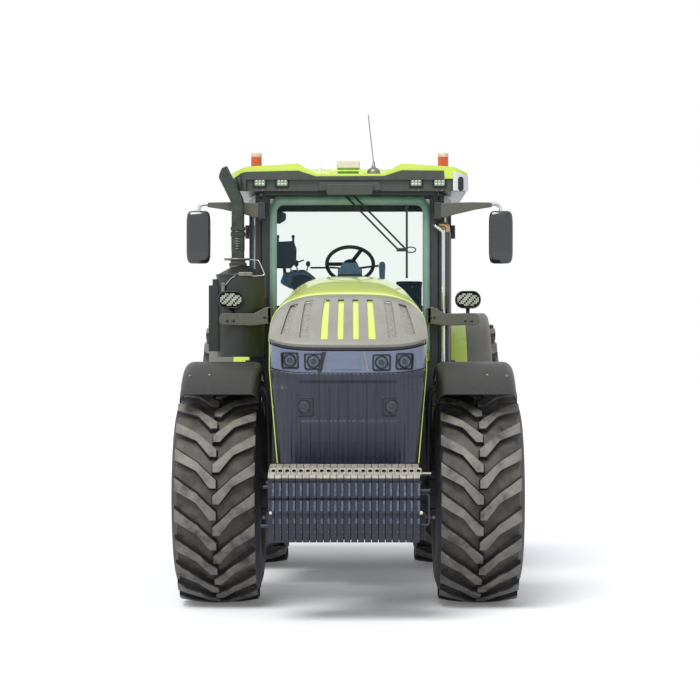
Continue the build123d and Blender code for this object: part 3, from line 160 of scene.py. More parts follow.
def dusted(tree, colour, dust, share, broken):
    """The colour with pale dust on what faces up."""
    up = add_node(tree, "SeparateXYZ", links={0: add_node(tree, "NewGeometry").outputs["Normal"]})
    flat = add_node(tree, "MapRange", {"From Min": 0.0, "From Max": 1.0, "To Max": share},
                    {"Value": up.outputs["Z"]})
    settled = add_node(tree, "Math", operation="MULTIPLY", links={0: flat.outputs[0], 1: broken})
    return mixed_colour(tree, settled.outputs[0], colour, dust)


def finish_skin(tree, colour, patch, roughness, grain_mm, bump, metallic=0.0, coat=0.0):
    """The last part of a finish: roughness that wanders with the patches, and a fine bump."""
    place = add_node(tree, "TexCoord").outputs["Object"]
    fine = add_node(tree, "TexNoise", {"Scale": 1000 / grain_mm, "Detail": 4.0, "Roughness": 0.65},
                    {"Vector": place})
    rough = add_node(tree, "MapRange", {"To Min": max(roughness - 0.07, 0.02),
                                        "To Max": min(roughness + 0.07, 1)},
                     {"Value": patch})
    relief = add_node(tree, "Bump", {"Strength": bump, "Distance": grain_mm / 4000},
                      {"Height": fine.outputs[0]})
    skin = add_node(tree, "BsdfPrincipled",
                    {"Metallic": metallic, "Coat Weight": coat, "Coat Roughness": 0.06},
                    {"Base Color": colour, "Roughness": rough.outputs[0], "Normal": relief.outputs[0]})
    add_node(tree, "OutputMaterial", links={"Surface": skin.outputs[0]})


def mottled(name, light, dark, grain_mm, roughness, bump=0.1, metallic=0.0, coat=0.0, dust=None,
            dust_share=0.35):
    """A finish whose colour wanders between two shades."""
    made, tree = new_finish(name)
    patch = patches(tree, grain_mm)
    colour = mixed_colour(tree, patch, dark, light)
    if dust:
        colour = dusted(tree, colour, dust, dust_share, patch)
    finish_skin(tree, colour, patch, roughness, grain_mm, bump, metallic, coat)
    return made


def dress(node, finish, edge_mm=3.0):
    """Gives a solid its finish and rounds its sharp edges a little, as paint and moulding do."""
    solid = nodes[node]
    solid.data.materials.clear()
    solid.data.materials.append(finish)
    if edge_mm:
        weld = solid.modifiers.new("weld", "WELD")
        weld.merge_threshold = 0.00005
        bevel = solid.modifiers.new("edges", "BEVEL")
        bevel.width = edge_mm / 1000
        bevel.segments = 2
        bevel.limit_method = "ANGLE"
        bevel.angle_limit = math.radians(35)
        normals = solid.modifiers.new("normals", "WEIGHTED_NORMAL")
        normals.keep_sharp = True
        for face in solid.data.polygons:
            face.use_smooth = True
    return solid


lime_metal = mottled("gloss_lime_paint_on_steel", "#E4FA66", "#DCF45C", 80, 0.26, 0.01, coat=0.4)
fender_plastic = mottled("moulded_black_fender", "#17181C", "#111216", 3, 0.45, 0.15, dust="#77736A",
                         dust_share=0.2)
fender_grey = mottled("moulded_taupe_extension", "#7E7A72", "#716D66", 4, 0.5, 0.1)
iron_dark = mottled("painted_casting", "#2A2A31", "#202027", 10, 0.55, 0.25, dust="#77736A", dust_share=0.3)
cab_paint = mottled("satin_charcoal_paint", "#3B3D40", "#323437", 30, 0.38, 0.02)
fascia_plastic = mottled("satin_grey_green_moulding", "#4A4F4A", "#404541", 14, 0.35, 0.04, coat=0.1)
tank_plastic = mottled("rotomoulded_grey_tank", "#4A4946", "#3F3E3C", 6, 0.6, 0.15, dust="#85806F",
                       dust_share=0.3)
step_paint = mottled("taupe_powder_coat", "#67655D", "#5B5952", 8, 0.5, 0.1, dust="#A09A8A",
                     dust_share=0.35)
link_paint = mottled("black_enamel_on_forging", "#2E3034", "#25272B", 12, 0.4, 0.12)
rim_paint = mottled("silver_wheel_enamel", "#BFC0C3", "#AEB0B4", 30, 0.35, 0.05, dust="#A89C88",
                    dust_share=0.3)
canister_paint = mottled("heat_proof_green_black_paint", "#2A302B", "#222824", 30, 0.38, 0.05)
dark_plastic = mottled("moulded_black_plastic", "#1C1E22", "#16181B", 3, 0.5, 0.15)
mirror_shell = mottled("gloss_black_moulding", "#1E2024", "#191A1E", 20, 0.18, 0.02, coat=1.0)
cab_plastic = mottled("moulded_blue_grey_plastic", "#3E5478", "#324564", 3, 0.5, 0.1)
cream_plastic = mottled("moulded_cream_plastic", "#F2E7D4", "#E9DCC6", 4, 0.35, 0.05)
rubber_grip = mottled("moulded_rubber", "#202125", "#1A1B1E", 2, 0.6, 0.2)
brushed_steel = mottled("weathered_steel_tube", "#8F8B86", "#77736E", 8, 0.38, 0.1, metallic=0.85)
stack_steel = mottled("smoke_stained_steel_pipe", "#4C544E", "#363C38", 14, 0.35, 0.08, metallic=0.55)
chrome = mottled("chromed_tube", "#D5D8DC", "#C6CACF", 30, 0.12, 0.01, metallic=1.0)

body_paint = {
    "roof_panel": (lime_metal, 5), "rear_fender_left": (lime_metal, 3),
    "rear_fender_right": (lime_metal, 3),
    "fender_extensions": (fender_grey, 3), "front_fender_left": (fender_plastic, 2),
    "front_fender_right": (fender_plastic, 2),
    "front_axle": (iron_dark, 4), "chassis_frame": (step_paint, 4), "engine_block": (iron_dark, 6),
    "transmission_housing": (iron_dark, 8), "rear_axle": (iron_dark, 5), "weight_carrier": (iron_dark, 5),
    "knuckle_left": (iron_dark, 4), "knuckle_right": (iron_dark, 4), "bonnet_support": (link_paint, 2),
    "cab_floor": (cab_paint, 3), "cab_frame": (cab_paint, 6), "door_left": (cab_paint, 4),
    "door_right": (cab_paint, 4), "roof_base": (fascia_plastic, 8), "fuel_tank": (tank_plastic, 4),
    "battery_box": (tank_plastic, 4), "cab_steps": (step_paint, 2), "exhaust_canister": (canister_paint, 5),
    "exhaust_stack": (stack_steel, 0), "lamp_brackets": (step_paint, 3), "work_lamps": (dark_plastic, 4),
    "mirrors": (mirror_shell, 5), "roof_antennas": (cream_plastic, 5),
    "handrails": (chrome, 0), "wiper": (dark_plastic, 1), "cab_consoles": (cab_plastic, 8),
    "steering_wheel": (rubber_grip, 0), "lower_links": (link_paint, 4), "lift_arms": (link_paint, 5),
    "lift_rods": (link_paint, 3), "rear_hitch": (iron_dark, 4), "top_link": (link_paint, 2),
    "steering_rod": (brushed_steel, 1), "front_rim_left": (rim_paint, 2), "front_rim_right": (rim_paint, 2),
    "rear_rim_left": (rim_paint, 2), "rear_rim_right": (rim_paint, 2),
    "operator_seat": (cab_plastic, 10), "passenger_seat": (cab_plastic, 10),
}
for node, (finish, edge_mm) in body_paint.items():
    dress(node, finish, edge_mm)

# ---- tyres -------------------------------------------------------------------------------------
# Radial farm tyres, moulded in black rubber, with 22 and 20 lugs on each half of the tread.
# Use has rubbed the lug tops to taupe and left beige dust between them; the walls stay dark.


def tyre_rubber(name, axle_y, radius, half_tread, side):
    """Rubber coloured by its distance from the wheel's axis, in zones of the real tread's depth."""
    made, tree = new_finish(name)
    place = add_node(tree, "TexCoord").outputs["Object"]
    from_axle = add_node(tree, "VectorMath", operation="SUBTRACT", links={0: place})
    from_axle.inputs[1].default_value = (side, axle_y, radius)
    flat = add_node(tree, "VectorMath", operation="MULTIPLY", links={0: from_axle.outputs[0]})
    flat.inputs[1].default_value = (0, 1, 1)
    reach = add_node(tree, "VectorMath", operation="LENGTH", links={0: flat.outputs[0]}).outputs["Value"]
    across = add_node(tree, "SeparateXYZ", links={0: from_axle.outputs[0]}).outputs["X"]
    across = add_node(tree, "Math", {1: half_tread}, {0: across}, operation="DIVIDE").outputs[0]
    bow = add_node(tree, "Math", operation="MULTIPLY", links={0: across, 1: across}).outputs[0]
    reach = add_node(tree, "Math", {1: 0.026}, {0: bow, 2: reach}, operation="MULTIPLY_ADD").outputs[0]
    patch = patches(tree, 26)
    ragged = add_node(tree, "Math", {1: 0.012}, {0: patch, 2: reach}, operation="MULTIPLY_ADD").outputs[0]
    wall = mixed_colour(tree, patch, "#1B1C25", "#262833")
    dust = mixed_colour(tree, patch, "#222125", "#6C655B")
    worn = mixed_colour(tree, patch, "#5A5856", "#98938A")
    dusty = add_node(tree, "MapRange", {"From Min": radius - 0.075, "From Max": radius - 0.05},
                     {"Value": ragged})
    rising = add_node(tree, "MapRange", {"From Min": radius - 0.036, "From Max": radius - 0.022},
                      {"Value": ragged})
    rubbed = add_node(tree, "MapRange", {"From Min": radius - 0.004, "From Max": radius + 0.004},
                      {"Value": ragged})
    colour = mixed_colour(tree, dusty.outputs[0], wall, dust)
    colour = mixed_colour(tree, rising.outputs[0], colour, "#17181D")
    colour = mixed_colour(tree, rubbed.outputs[0], colour, worn)
    finish_skin(tree, colour, patch, 0.6, 5, 0.35)
    return made


for end, half_tread in (("front", 0.264), ("rear", 0.32)):
    for hand in ("left", "right"):
        low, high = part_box(f"{end}_tyre_{hand}")
        middle = (low + high) / 2
        rubber = tyre_rubber(f"{end}_{hand}_tyre_rubber", middle.y, (high.y - low.y) / 2, half_tread,
                             middle.x)
        dress(f"{end}_tyre_{hand}", rubber, 0)

# ---- bonnet shell ------------------------------------------------------------------------------
# The lime bonnet is one pressed and moulded shell, tall and square-shouldered over the engine.
# It hinges at its rear edge, and its gloss two-pack paint shows soft highlights on the crown.
lime_gloss = mottled("gloss_lime_paint", "#EDFC80", "#E6F976", 90, 0.2, 0.01, coat=0.5)
nose_low, nose_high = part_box("bonnet_nose")
nose_tip_y = nose_low.y
seam_y = nose_tip_y + 0.56
bonnet_rear_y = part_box("bonnet_panel")[1].y
bonnet_half = nose_high.x
lip_z = 1.762
cheek_z = 1.79
squareness = 0.61


def lay_out(piece, finish, body="chassis", covers=()):
    """Paints a piece, sets it to ride on its body and hides the solid parts it stands in for."""
    if piece.type == "MESH":
        for face in piece.data.polygons:
            face.use_smooth = True
    piece.data.materials.append(finish)
    bpy.context.scene.collection.objects.link(piece)
    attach(piece, body)
    if covers:
        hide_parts(*covers)
    return piece


def sheet_mesh(name, rows, closed=False):
    """A mesh through rows of points, each row as long as the first."""
    width = len(rows[0])
    points = [tuple(p) for row in rows for p in row]
    last = width if closed else width - 1
    faces = [(r * width + c, r * width + (c + 1) % width, (r + 1) * width + (c + 1) % width,
              (r + 1) * width + c)
             for r in range(len(rows) - 1) for c in range(last)]
    mesh = bpy.data.meshes.new(name)
    mesh.from_pydata(points, [], faces)
    mesh.update()
    return bpy.data.objects.new(name, mesh)


def thicken(piece, wall_mm, edge_mm=0.0, offset=-1):
    """Gives a sheet its wall, inward from its face, and rounds the edges of the wall."""
    wall = piece.modifiers.new("wall", "SOLIDIFY")
    wall.thickness = wall_mm / 1000
    wall.offset = offset
    if edge_mm:
        soften(piece, edge_mm)
    return piece


def soften(piece, edge_mm, angle=35, segments=2):
    """Rounds the sharp edges of a piece."""
    bevel = piece.modifiers.new("edges", "BEVEL")
    bevel.width = edge_mm / 1000
    bevel.segments = segments
    bevel.limit_method = "ANGLE"
    bevel.angle_limit = math.radians(angle)
    normals = piece.modifiers.new("normals", "WEIGHTED_NORMAL")
    normals.keep_sharp = True
    return piece


def signed_power(value, power):
    return math.copysign(abs(value) ** power, value)


def crown_section(turn, half, low, top):
    """A point of the bonnet's section, from the right side at -90 degrees to the left at 90."""
    x = half * signed_power(math.sin(turn), squareness)
    z = low + (top - low) * abs(math.cos(turn)) ** squareness
    return x, z


def mix(a, b, share):
    return a + (b - a) * share


turns = [math.radians(90 * signed_power(i / 48, 0.9)) for i in range(-48, 49)]


def seam_point(turn):
    """Where the lime shell meets the grey nose: level over the top, then down and forward on the flanks."""
    x, z = crown_section(turn, bonnet_half - 0.003, cheek_z, 2.095)
    drop = (2.095 - z) / (2.095 - cheek_z)
    return Vector((x, seam_y - 0.33 * drop ** 2.4, z))


def shell_point(turn, share):
    """A point of the lime shell, from the seam at 0 to the rear edge at 1."""
    start = seam_point(turn)
    half = mix(bonnet_half - 0.003, bonnet_half - 0.045, share)
    rise = math.sin(math.pi / 2 * share ** 0.8)
    x, z = crown_section(turn, half, mix(cheek_z, 1.705, min(share * 3, 1)), mix(2.095, 2.254, rise))
    return Vector((x, mix(start.y, bonnet_rear_y, share), z))


shell_rows = [[shell_point(turn, (r / 30) ** 1.25) for turn in turns] for r in range(31)]
shell = thicken(sheet_mesh("bonnet_shell", shell_rows), 12, 3, 1)
lay_out(shell, lime_gloss, "bonnet", ["bonnet_panel"])

# ---- nose panel --------------------------------------------------------------------------------
# A satin warm grey moulding caps the front of the bonnet, and rolls under along its lip.
# Eight slots are let into it: lime strips in the middle four, air mesh in the outer four.
nose_grey = mottled("satin_warm_grey_moulding", "#A19E94", "#969389", 24, 0.36, 0.03, coat=0.15)
# this navy finish colours the real sight wedge, and also stands as painted shade under the lip and in the
# deep band rib
dark_moulding_and_shade = mottled("satin_navy_moulding_and_painted_shade", "#262732", "#1E1F29", 20, 0.3, 0.03, coat=0.2)


def lip_point(turn, inset=0.0, z=None):
    """A point of the nose's lip, round in plan, which lifts towards its corners."""
    spread = signed_power(math.sin(turn), 0.66)
    x = (bonnet_half - 0.003 - inset) * spread
    y = nose_tip_y + inset + (0.2 - inset) * (1 - abs(math.cos(turn)) ** 0.66)
    lift = 0.046 * abs(spread) ** 5
    return Vector((x, y, (lip_z if z is None else z) + lift))


def nose_point(turn, share, sink=0.0):
    """A point of the nose's skin, from the lip at 0 to the seam at 1, sunk along the slope if asked."""
    low = lip_point(turn)
    high = seam_point(turn)
    bend = Vector((mix(low.x, high.x, 0.25), mix(low.y, high.y, 0.36), mix(low.z, high.z, 0.8)))
    rest = 1 - share
    place = low * rest ** 2 + bend * 2 * rest * share + high * share ** 2
    return place + Vector((0, sink * 0.62, -sink * 0.78))


nose_rows = [[nose_point(turn, (r / 26) ** 1.15) for turn in turns] for r in range(27)]
rolled = [[lip_point(turn, 0.004, lip_z - 0.008) for turn in turns],
          [lip_point(turn, 0.016, lip_z - 0.012) for turn in turns]]
nose = sheet_mesh("nose_panel", rolled[::-1] + nose_rows)
thicken(nose, 9, 0, 1)
lay_out(nose, nose_grey, "bonnet", ["bonnet_nose"])

# slots: inner and outer edge at the front, inner and outer edge at the rear, front share, rear share
slot_table = [(0.030, 0.071, 0.028, 0.067, 0.06, 0.80), (0.131, 0.181, 0.122, 0.160, 0.06, 0.80),
              (0.262, 0.316, 0.232, 0.286, 0.08, 0.79), (0.382, 0.438, 0.330, 0.384, 0.12, 0.77)]


def turn_across(x, place):
    """The turn at which a row of points lies at a distance across."""
    low, high = -math.pi / 2, math.pi / 2
    for _ in range(30):
        middle = (low + high) / 2
        if place(middle).x < x:
            low = middle
        else:
            high = middle
    return (low + high) / 2


def nose_at(x, share, sink=0.0):
    """The point of the nose's skin at a distance across."""
    return nose_point(turn_across(x, lambda turn: nose_point(turn, share)), share, sink)


def slot_rows(side, slot, sink, grow=0.0):
    """Rows of points that fill a slot's outline at a depth under the skin."""
    front_in, front_out, rear_in, rear_out, start, end = slot
    rows = []
    for r in range(17):
        share = mix(start - grow * 1.6, end + grow * 1.6, r / 16)
        along = r / 16
        inner = mix(front_in, rear_in, along) - grow
        outer = mix(front_out, rear_out, along) + grow
        rows.append([nose_at(side * mix(inner, outer, c / 5), share, sink) for c in range(6)])
    return rows


air_mesh, tree = new_finish("grey_air_mesh")
place = add_node(tree, "TexCoord").outputs["Object"]
# 9 mm openings, drawn coarser than the real 4 mm so that they show
cells = add_node(tree, "TexVoronoi", {"Scale": 1000 / 9}, {"Vector": place}, distance="CHEBYCHEV")
holes = add_node(tree, "MapRange", {"From Min": 0.2, "From Max": 0.45},
                 {"Value": cells.outputs["Distance"]})
wire = mixed_colour(tree, holes.outputs[0], "#B4B2A8", "#8F8C83")
finish_skin(tree, wire, holes.outputs[0], 0.4, 6, 0.2)
cutters = []
for number, slot in enumerate(slot_table):
    for side, hand in ((-1, "right"), (1, "left")):
        strip = sheet_mesh(f"nose_slot_{number + 1}_{hand}", slot_rows(side, slot, 0.007, 0.004))
        finish, slot_name = (lime_gloss, "lime_gloss") if number < 2 else (air_mesh, "warm_grey")
        lay_out(strip, finish, "bonnet")
        cutter = sheet_mesh(f"cutter_{number}_{hand}", slot_rows(side, slot, -0.03))
        shape = bmesh.new()
        shape.from_mesh(cutter.data)
        moved = bmesh.ops.extrude_face_region(shape, geom=list(shape.faces))
        fresh = [v for v in moved["geom"] if isinstance(v, bmesh.types.BMVert)]
        bmesh.ops.translate(shape, verts=fresh, vec=Vector((0, 0.037, -0.047)))
        bmesh.ops.recalc_face_normals(shape, faces=shape.faces)
        shape.to_mesh(cutter.data)
        shape.free()
        bpy.context.scene.collection.objects.link(cutter)
        cutters.append(cutter)
tools = bpy.data.collections.new("cutters")
for cutter in cutters:
    tools.objects.link(cutter)
opening = nose.modifiers.new("slots", "BOOLEAN")
opening.operand_type = "COLLECTION"
opening.collection = tools
opening.solver = "EXACT"
soften(nose, 1.2, 40)
bpy.context.view_layer.update()
bpy.context.view_layer.objects.active = nose
nose.select_set(True)
for step in ("wall", "slots"):
    with bpy.context.temp_override(object=nose, active_object=nose):
        bpy.ops.object.modifier_apply(modifier=step)
for cutter in cutters:
    bpy.data.objects.remove(cutter)
bpy.data.collections.remove(tools)
for face in nose.data.polygons:
    face.use_smooth = True

# a small dark sight wedge between the two middle strips; it lies inside the wall of the nose
wedge_rows = []
for r in range(9):
    share = mix(0.125, 0.34, r / 8)
    half = 0.019 * (1 - r / 8) + 0.001
    wedge_rows.append([nose_at(-0.001 + half * c / 2, share, -0.006) for c in range(-2, 3)])
lay_out(thicken(sheet_mesh("nose_sight_wedge", wedge_rows), 5, 1, 0), dark_moulding_and_shade, "bonnet")

# a dark strip under the lip is painted shadow, and closes the gap between the lip and the lamp band
under_lip = sheet_mesh("nose_lip_painted_shadow", [[lip_point(turn, inset, z) for turn in turns]
                                          for inset,
                                          z in ((0.012, 1.757), (0.006, 1.744), (0.010, 1.722),
                                                (0.03, 1.718))])
lay_out(thicken(under_lip, 5, 0, 1), dark_moulding_and_shade, "bonnet")

# ---- headlamp band -----------------------------------------------------------------------------
# A satin blue-grey moulding runs under the lip from corner to corner, and leans back a little.
# A bay between two slanted ribs stands in its middle, the right one painted dark as shade and the left one
# painted light as a highlight; two lamps sit in dark housings each side.
band_grey = mottled("satin_blue_grey_moulding", "#7F8AA2", "#747E96", 24, 0.28, 0.03, coat=0.2)


def band_point(turn, share, inset=0.0):
    """A point of the lamp band, from its top at 0 to its foot at 1."""
    place = lip_point(turn, 0.001 + inset + 0.006 * share, 0)
    place.y += 0.02 * share
    place.z = mix(1.722, 1.583, share) + place.z * mix(1.0, 0.75, share)
    return place


band_rows = [[band_point(turn, r / 8) for turn in turns] for r in range(9)]
band_rows = [[band_point(turn, 0, 0.02) for turn in turns]] + band_rows
band_rows += [[band_point(turn, 1.0, 0.012) + Vector((0, 0, -0.005)) for turn in turns]]
band = sheet_mesh("lamp_band", band_rows)
thicken(band, 6, 1.5, 1)
lay_out(band, band_grey, "bonnet", ["headlamp_band"])


def band_at(x, share, proud=0.0):
    turn = turn_across(x, lambda t: band_point(t, share))
    return band_point(turn, share, -proud)


def band_patch(name, corners, proud, finish, wall_mm=6, edge_mm=2):
    """A raised patch; its corners are across and share at top left, top right, low right, low left."""
    (ax, a), (bx, b), (cx, c), (dx, d) = corners
    rows = []
    for r in range(7):
        along = r / 6
        rows.append([band_at(mix(mix(ax, dx, along), mix(bx, cx, along), k / 8),
                             mix(mix(a, d, along), mix(b, c, along), k / 8), proud) for k in range(9)])
    patch = thicken(sheet_mesh(name, rows), wall_mm, edge_mm, 1)
    return lay_out(patch, finish, "bonnet")


# the right-hand rib is painted dark, as the shade of a deep step; the left-hand one is a thin lighter
# strip, a painted highlight along its edge
band_patch("band_rib_right_painted_shade", ((-0.165, 0.02), (-0.138, 0.02), (-0.170, 0.98), (-0.196, 0.98)), 0.004,
           dark_moulding_and_shade)
band_patch("band_rib_left_painted_highlight", ((0.100, 0.02), (0.110, 0.02), (0.136, 0.98), (0.126, 0.98)), 0.006, nose_grey,
           6, 1)
band_patch("band_badge_plate", ((-0.095, 0.25), (0.07, 0.25), (0.085, 0.85), (-0.11, 0.85)), 0.003,
           band_grey, 4, 1.5)

# ---- headlamps ---------------------------------------------------------------------------------
# Each lamp is a moulded black housing with rounded corners and a stepped recess.
# A dark ring holds a metal bowl behind a clear lens, with a small projector in it. One lamp of each group
# has a lighter copy of the bowl, painted light, and the rest a darker copy, painted shade.
lamp_black = mottled("moulded_lamp_housing", "#15161B", "#101115", 3, 0.38, 0.1, coat=0.1)
reflector = mottled("reflector_bowl_painted_lit", "#9FA6B4", "#7E8594", 6, 0.16, 0.15, metallic=1.0)
reflector_painted_shade = mottled("reflector_bowl_painted_shade", "#4C5262", "#3A3F4D", 6, 0.2, 0.15, metallic=1.0)
clear_lens, tree = new_finish("clear_polycarbonate_lens")
clear = add_node(tree, "BsdfTransparent", {"Color": linear("#F4F7FA")})
shine = add_node(tree, "BsdfPrincipled", {"Base Color": linear("#E8EEF4"), "Roughness": 0.04})
facing = add_node(tree, "Fresnel", {"IOR": 1.58})
ripple = patches(tree, 6)
share = add_node(tree, "Math", {1: 0.05}, {0: ripple, 2: facing.outputs[0]}, operation="MULTIPLY_ADD")
pane = add_node(tree, "MixShader", links={0: share.outputs[0], 1: clear.outputs[0], 2: shine.outputs[0]})
add_node(tree, "OutputMaterial", links={"Surface": pane.outputs[0]})


def turned(name, profile, steps=40):
    """A mesh turned about the Y axis from pairs of radius and depth; a radius of 0 closes it."""
    shape = bmesh.new()
    rings = []
    for radius, depth in profile:
        if radius < 1e-6:
            rings.append([shape.verts.new((0, depth, 0))])
        else:
            rings.append([shape.verts.new((radius * math.cos(a), depth, radius * math.sin(a)))
                          for a in (2 * math.pi * k / steps for k in range(steps))])
    for near, far in zip(rings, rings[1:]):
        for k in range(steps):
            if len(near) == 1 and len(far) > 1:
                shape.faces.new((near[0], far[k], far[(k + 1) % steps]))
            elif len(far) == 1 and len(near) > 1:
                shape.faces.new((near[k], near[(k + 1) % steps], far[0]))
            elif len(near) > 1:
                shape.faces.new((near[k], near[(k + 1) % steps], far[(k + 1) % steps], far[k]))
    bmesh.ops.recalc_face_normals(shape, faces=shape.faces)
    mesh = bpy.data.meshes.new(name)
    shape.to_mesh(mesh)
    shape.free()
    return bpy.data.objects.new(name, mesh)


def set_at(piece, place, lean=0.0, yaw=0.0):
    """Moves a mesh that faces -Y to its place, leaning its face up and turning it about Z."""
    piece.data.transform(Matrix.Translation(place) @ Matrix.Rotation(yaw, 4, "Z") @ Matrix.Rotation(lean, 4,
                                                                                                    "X"))
    return piece


def rounded_outline(half_x, half_z, corner, steps=6):
    """Points of a rounded rectangle about the origin, in X and Z."""
    points = []
    for sx, sz, start in ((1, 1, 0), (-1, 1, 90), (-1, -1, 180), (1, -1, 270)):
        for k in range(steps + 1):
            a = math.radians(start + 90 * k / steps)
            points.append((sx * (half_x - corner) + corner * math.cos(a),
                           sz * (half_z - corner) + corner * math.sin(a)))
    return points


def stepped_frame(name, outline_rows):
    """A closed moulding through outlines of equal length, each with its depth; the last is filled."""
    rows = [[(x, depth, z) for x, z in outline] for outline, depth in outline_rows]
    piece = sheet_mesh(name, rows, closed=True)
    shape = bmesh.new()
    shape.from_mesh(piece.data)
    shape.verts.ensure_lookup_table()
    count = len(rows[0])
    shape.faces.new([shape.verts[k] for k in range(count)][::-1])
    shape.faces.new([shape.verts[(len(rows) - 1) * count + k] for k in range(count)])
    bmesh.ops.recalc_face_normals(shape, faces=shape.faces)
    shape.to_mesh(piece.data)
    shape.free()
    return piece


def headlamp(name, x, z, lean, yaw, bowl_finish, face_y, half=(0.060, 0.055)):
    """A whole lamp: housing, ring, bowl, projector and lens, at a place on the nose."""
    place = Vector((x, face_y, z))
    wide, tall = half
    frame_rows = [
        (rounded_outline(wide, tall, 0.014), 0.05), (rounded_outline(wide, tall, 0.014), 0.002),
        (rounded_outline(wide - 0.003, tall - 0.003, 0.013), -0.001),
        (rounded_outline(wide - 0.008, tall - 0.008, 0.012), -0.001),
        (rounded_outline(wide - 0.011, tall - 0.011, 0.011), 0.008),
        (rounded_outline(wide - 0.014, tall - 0.014, 0.010), 0.009),
    ]
    housing = set_at(stepped_frame(name + "_housing", frame_rows[::-1]), place, lean, yaw)
    soften(housing, 0.8)
    lay_out(housing, lamp_black, "bonnet")
    ring = turned(name + "_ring", [(0.0445, 0.008), (0.0445, -0.001), (0.043, -0.004), (0.0405, -0.004),
                                   (0.039, 0.0)])
    lay_out(set_at(ring, place, lean, yaw), lamp_black, "bonnet")
    bowl = turned(name + "_bowl", [(0.0405, 0.0), (0.038, 0.004), (0.03, 0.0075), (0.018, 0.0085),
                                   (0.0, 0.0088)])
    lay_out(set_at(bowl, place, lean, yaw), bowl_finish, "bonnet")
    eye = turned(name + "_projector", [(0.017, 0.008), (0.017, 0.001), (0.0155, -0.001), (0.012, -0.001),
                                       (0.0, -0.004)], 24)
    lay_out(set_at(eye, place, lean, yaw), lamp_black, "bonnet")
    glare = turned(name + "_lens", [(0.0405, -0.001), (0.034, -0.004), (0.02, -0.0065), (0.0, -0.0075)])
    lay_out(set_at(glare, place, lean, yaw), clear_lens, "bonnet")


band_lean = math.atan2(0.026, 0.139)
# the outer left lamp gets the painted lit copy of the bowl, the other three the painted shade copy
lamps_made = [("headlamp_outer_right", -0.378, 1.662, reflector_painted_shade),
              ("headlamp_inner_right", -0.223, 1.655, reflector_painted_shade),
              ("headlamp_inner_left", 0.219, 1.648, reflector_painted_shade),
              ("headlamp_outer_left", 0.370, 1.655, reflector)]
for name, x, z, bowl_finish in lamps_made:
    share = (1.722 - z) / 0.139
    near = band_at(x - 0.05, share)
    far = band_at(x + 0.05, share)
    yaw = math.atan2(far.y - near.y, far.x - near.x)
    face = band_at(x, share)
    headlamp(name, x, z, band_lean, yaw, bowl_finish, face.y - 0.005)
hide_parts("headlamps")

# ---- lower grille ------------------------------------------------------------------------------
# A tall charcoal moulding closes the nose below the lamps, with fine upright ribs for the cooling air.
# Its middle is let in a little, and two round work lamps sit in square bays near its top.
grille_plastic, tree = new_finish("moulded_charcoal_grille")
place = add_node(tree, "TexCoord").outputs["Object"]
across = add_node(tree, "SeparateXYZ", links={0: place}).outputs["X"]
# ribs 15 mm apart, drawn twice as coarse as the real ones so that they show; the colour goes lighter and
# darker across each rib, painted highlight and shade, mixed with random streaks
comb = add_node(tree, "Math", {1: 1000 / 15}, {0: across}, operation="MULTIPLY").outputs[0]
comb = add_node(tree, "Math", {1: 1.0}, {0: comb}, operation="PINGPONG").outputs[0]
streak = add_node(tree, "Mapping", {"Scale": (60, 6, 2.5)}, {"Vector": place})
streak = add_node(tree, "TexNoise", {"Scale": 1.0, "Detail": 5.0}, {"Vector": streak.outputs[0]}).outputs[0]
streak = add_node(tree, "MapRange", {"From Min": 0.35, "From Max": 0.7}, {"Value": streak}).outputs[0]
rib_painted_shading_and_streaks = add_node(tree, "Math", {1: 0.5}, {0: comb, 2: streak}, operation="MULTIPLY_ADD").outputs[0]
navy = mixed_colour(tree, rib_painted_shading_and_streaks, "#1B1D29", "#2E3142")
relief = add_node(tree, "Bump", {"Strength": 0.5, "Distance": 0.003}, {"Height": comb})
skin = add_node(tree, "BsdfPrincipled", {"Roughness": 0.34, "Coat Weight": 0.15},
                {"Base Color": navy, "Normal": relief.outputs[0]})
add_node(tree, "OutputMaterial", links={"Surface": skin.outputs[0]})

grille_top_z = 1.579
grille_foot_z = 0.99


def eased(value, start, end):
    """Goes smoothly from 0 at start to 1 at end."""
    share = min(max((value - start) / (end - start), 0), 1)
    return share * share * (3 - 2 * share)


def grille_point(turn, share, inset=0.0):
    """A point of the grille, from its top at 0 to its foot at 1."""
    spread = signed_power(math.sin(turn), 0.62)
    half = mix(0.507, 0.453, share) - inset
    z = mix(grille_top_z, grille_foot_z, share) + 0.03 * abs(spread) ** 5 * (1 - share)
    x = half * spread
    # the flanks stop short where the steered tyres swing past them
    wrap = 0.15 - 0.035 * eased(share, 0.05, 0.3)
    y = nose_tip_y + 0.03 + 0.07 * share + inset + wrap * (1 - abs(math.cos(turn)) ** 0.62)
    sunk = eased(0.33 - abs(x), 0, 0.025) * eased(1.535 - z, 0, 0.02) * eased(z - 1.26, 0, 0.02)
    waist = eased(0.06 - abs(z - 1.525), 0, 0.05) * eased(abs(x), 0.30, 0.47)
    return Vector((x, y + 0.010 * sunk + 0.022 * waist, z))


grille_turns = [math.radians(90 * signed_power(i / 80, 0.85)) for i in range(-80, 81)]
grille_rows = [[grille_point(turn, 0, 0.02) for turn in grille_turns]]
grille_rows += [[grille_point(turn, r / 60) for turn in grille_turns] for r in range(61)]
grille = thicken(sheet_mesh("grille_face", grille_rows), 8, 0, 1)
lay_out(grille, grille_plastic, "bonnet", ["front_grille"])


def grille_at(x, z):
    share = (grille_top_z - z) / (grille_top_z - grille_foot_z)
    turn = turn_across(x, lambda t: grille_point(t, share))
    return grille_point(turn, share)


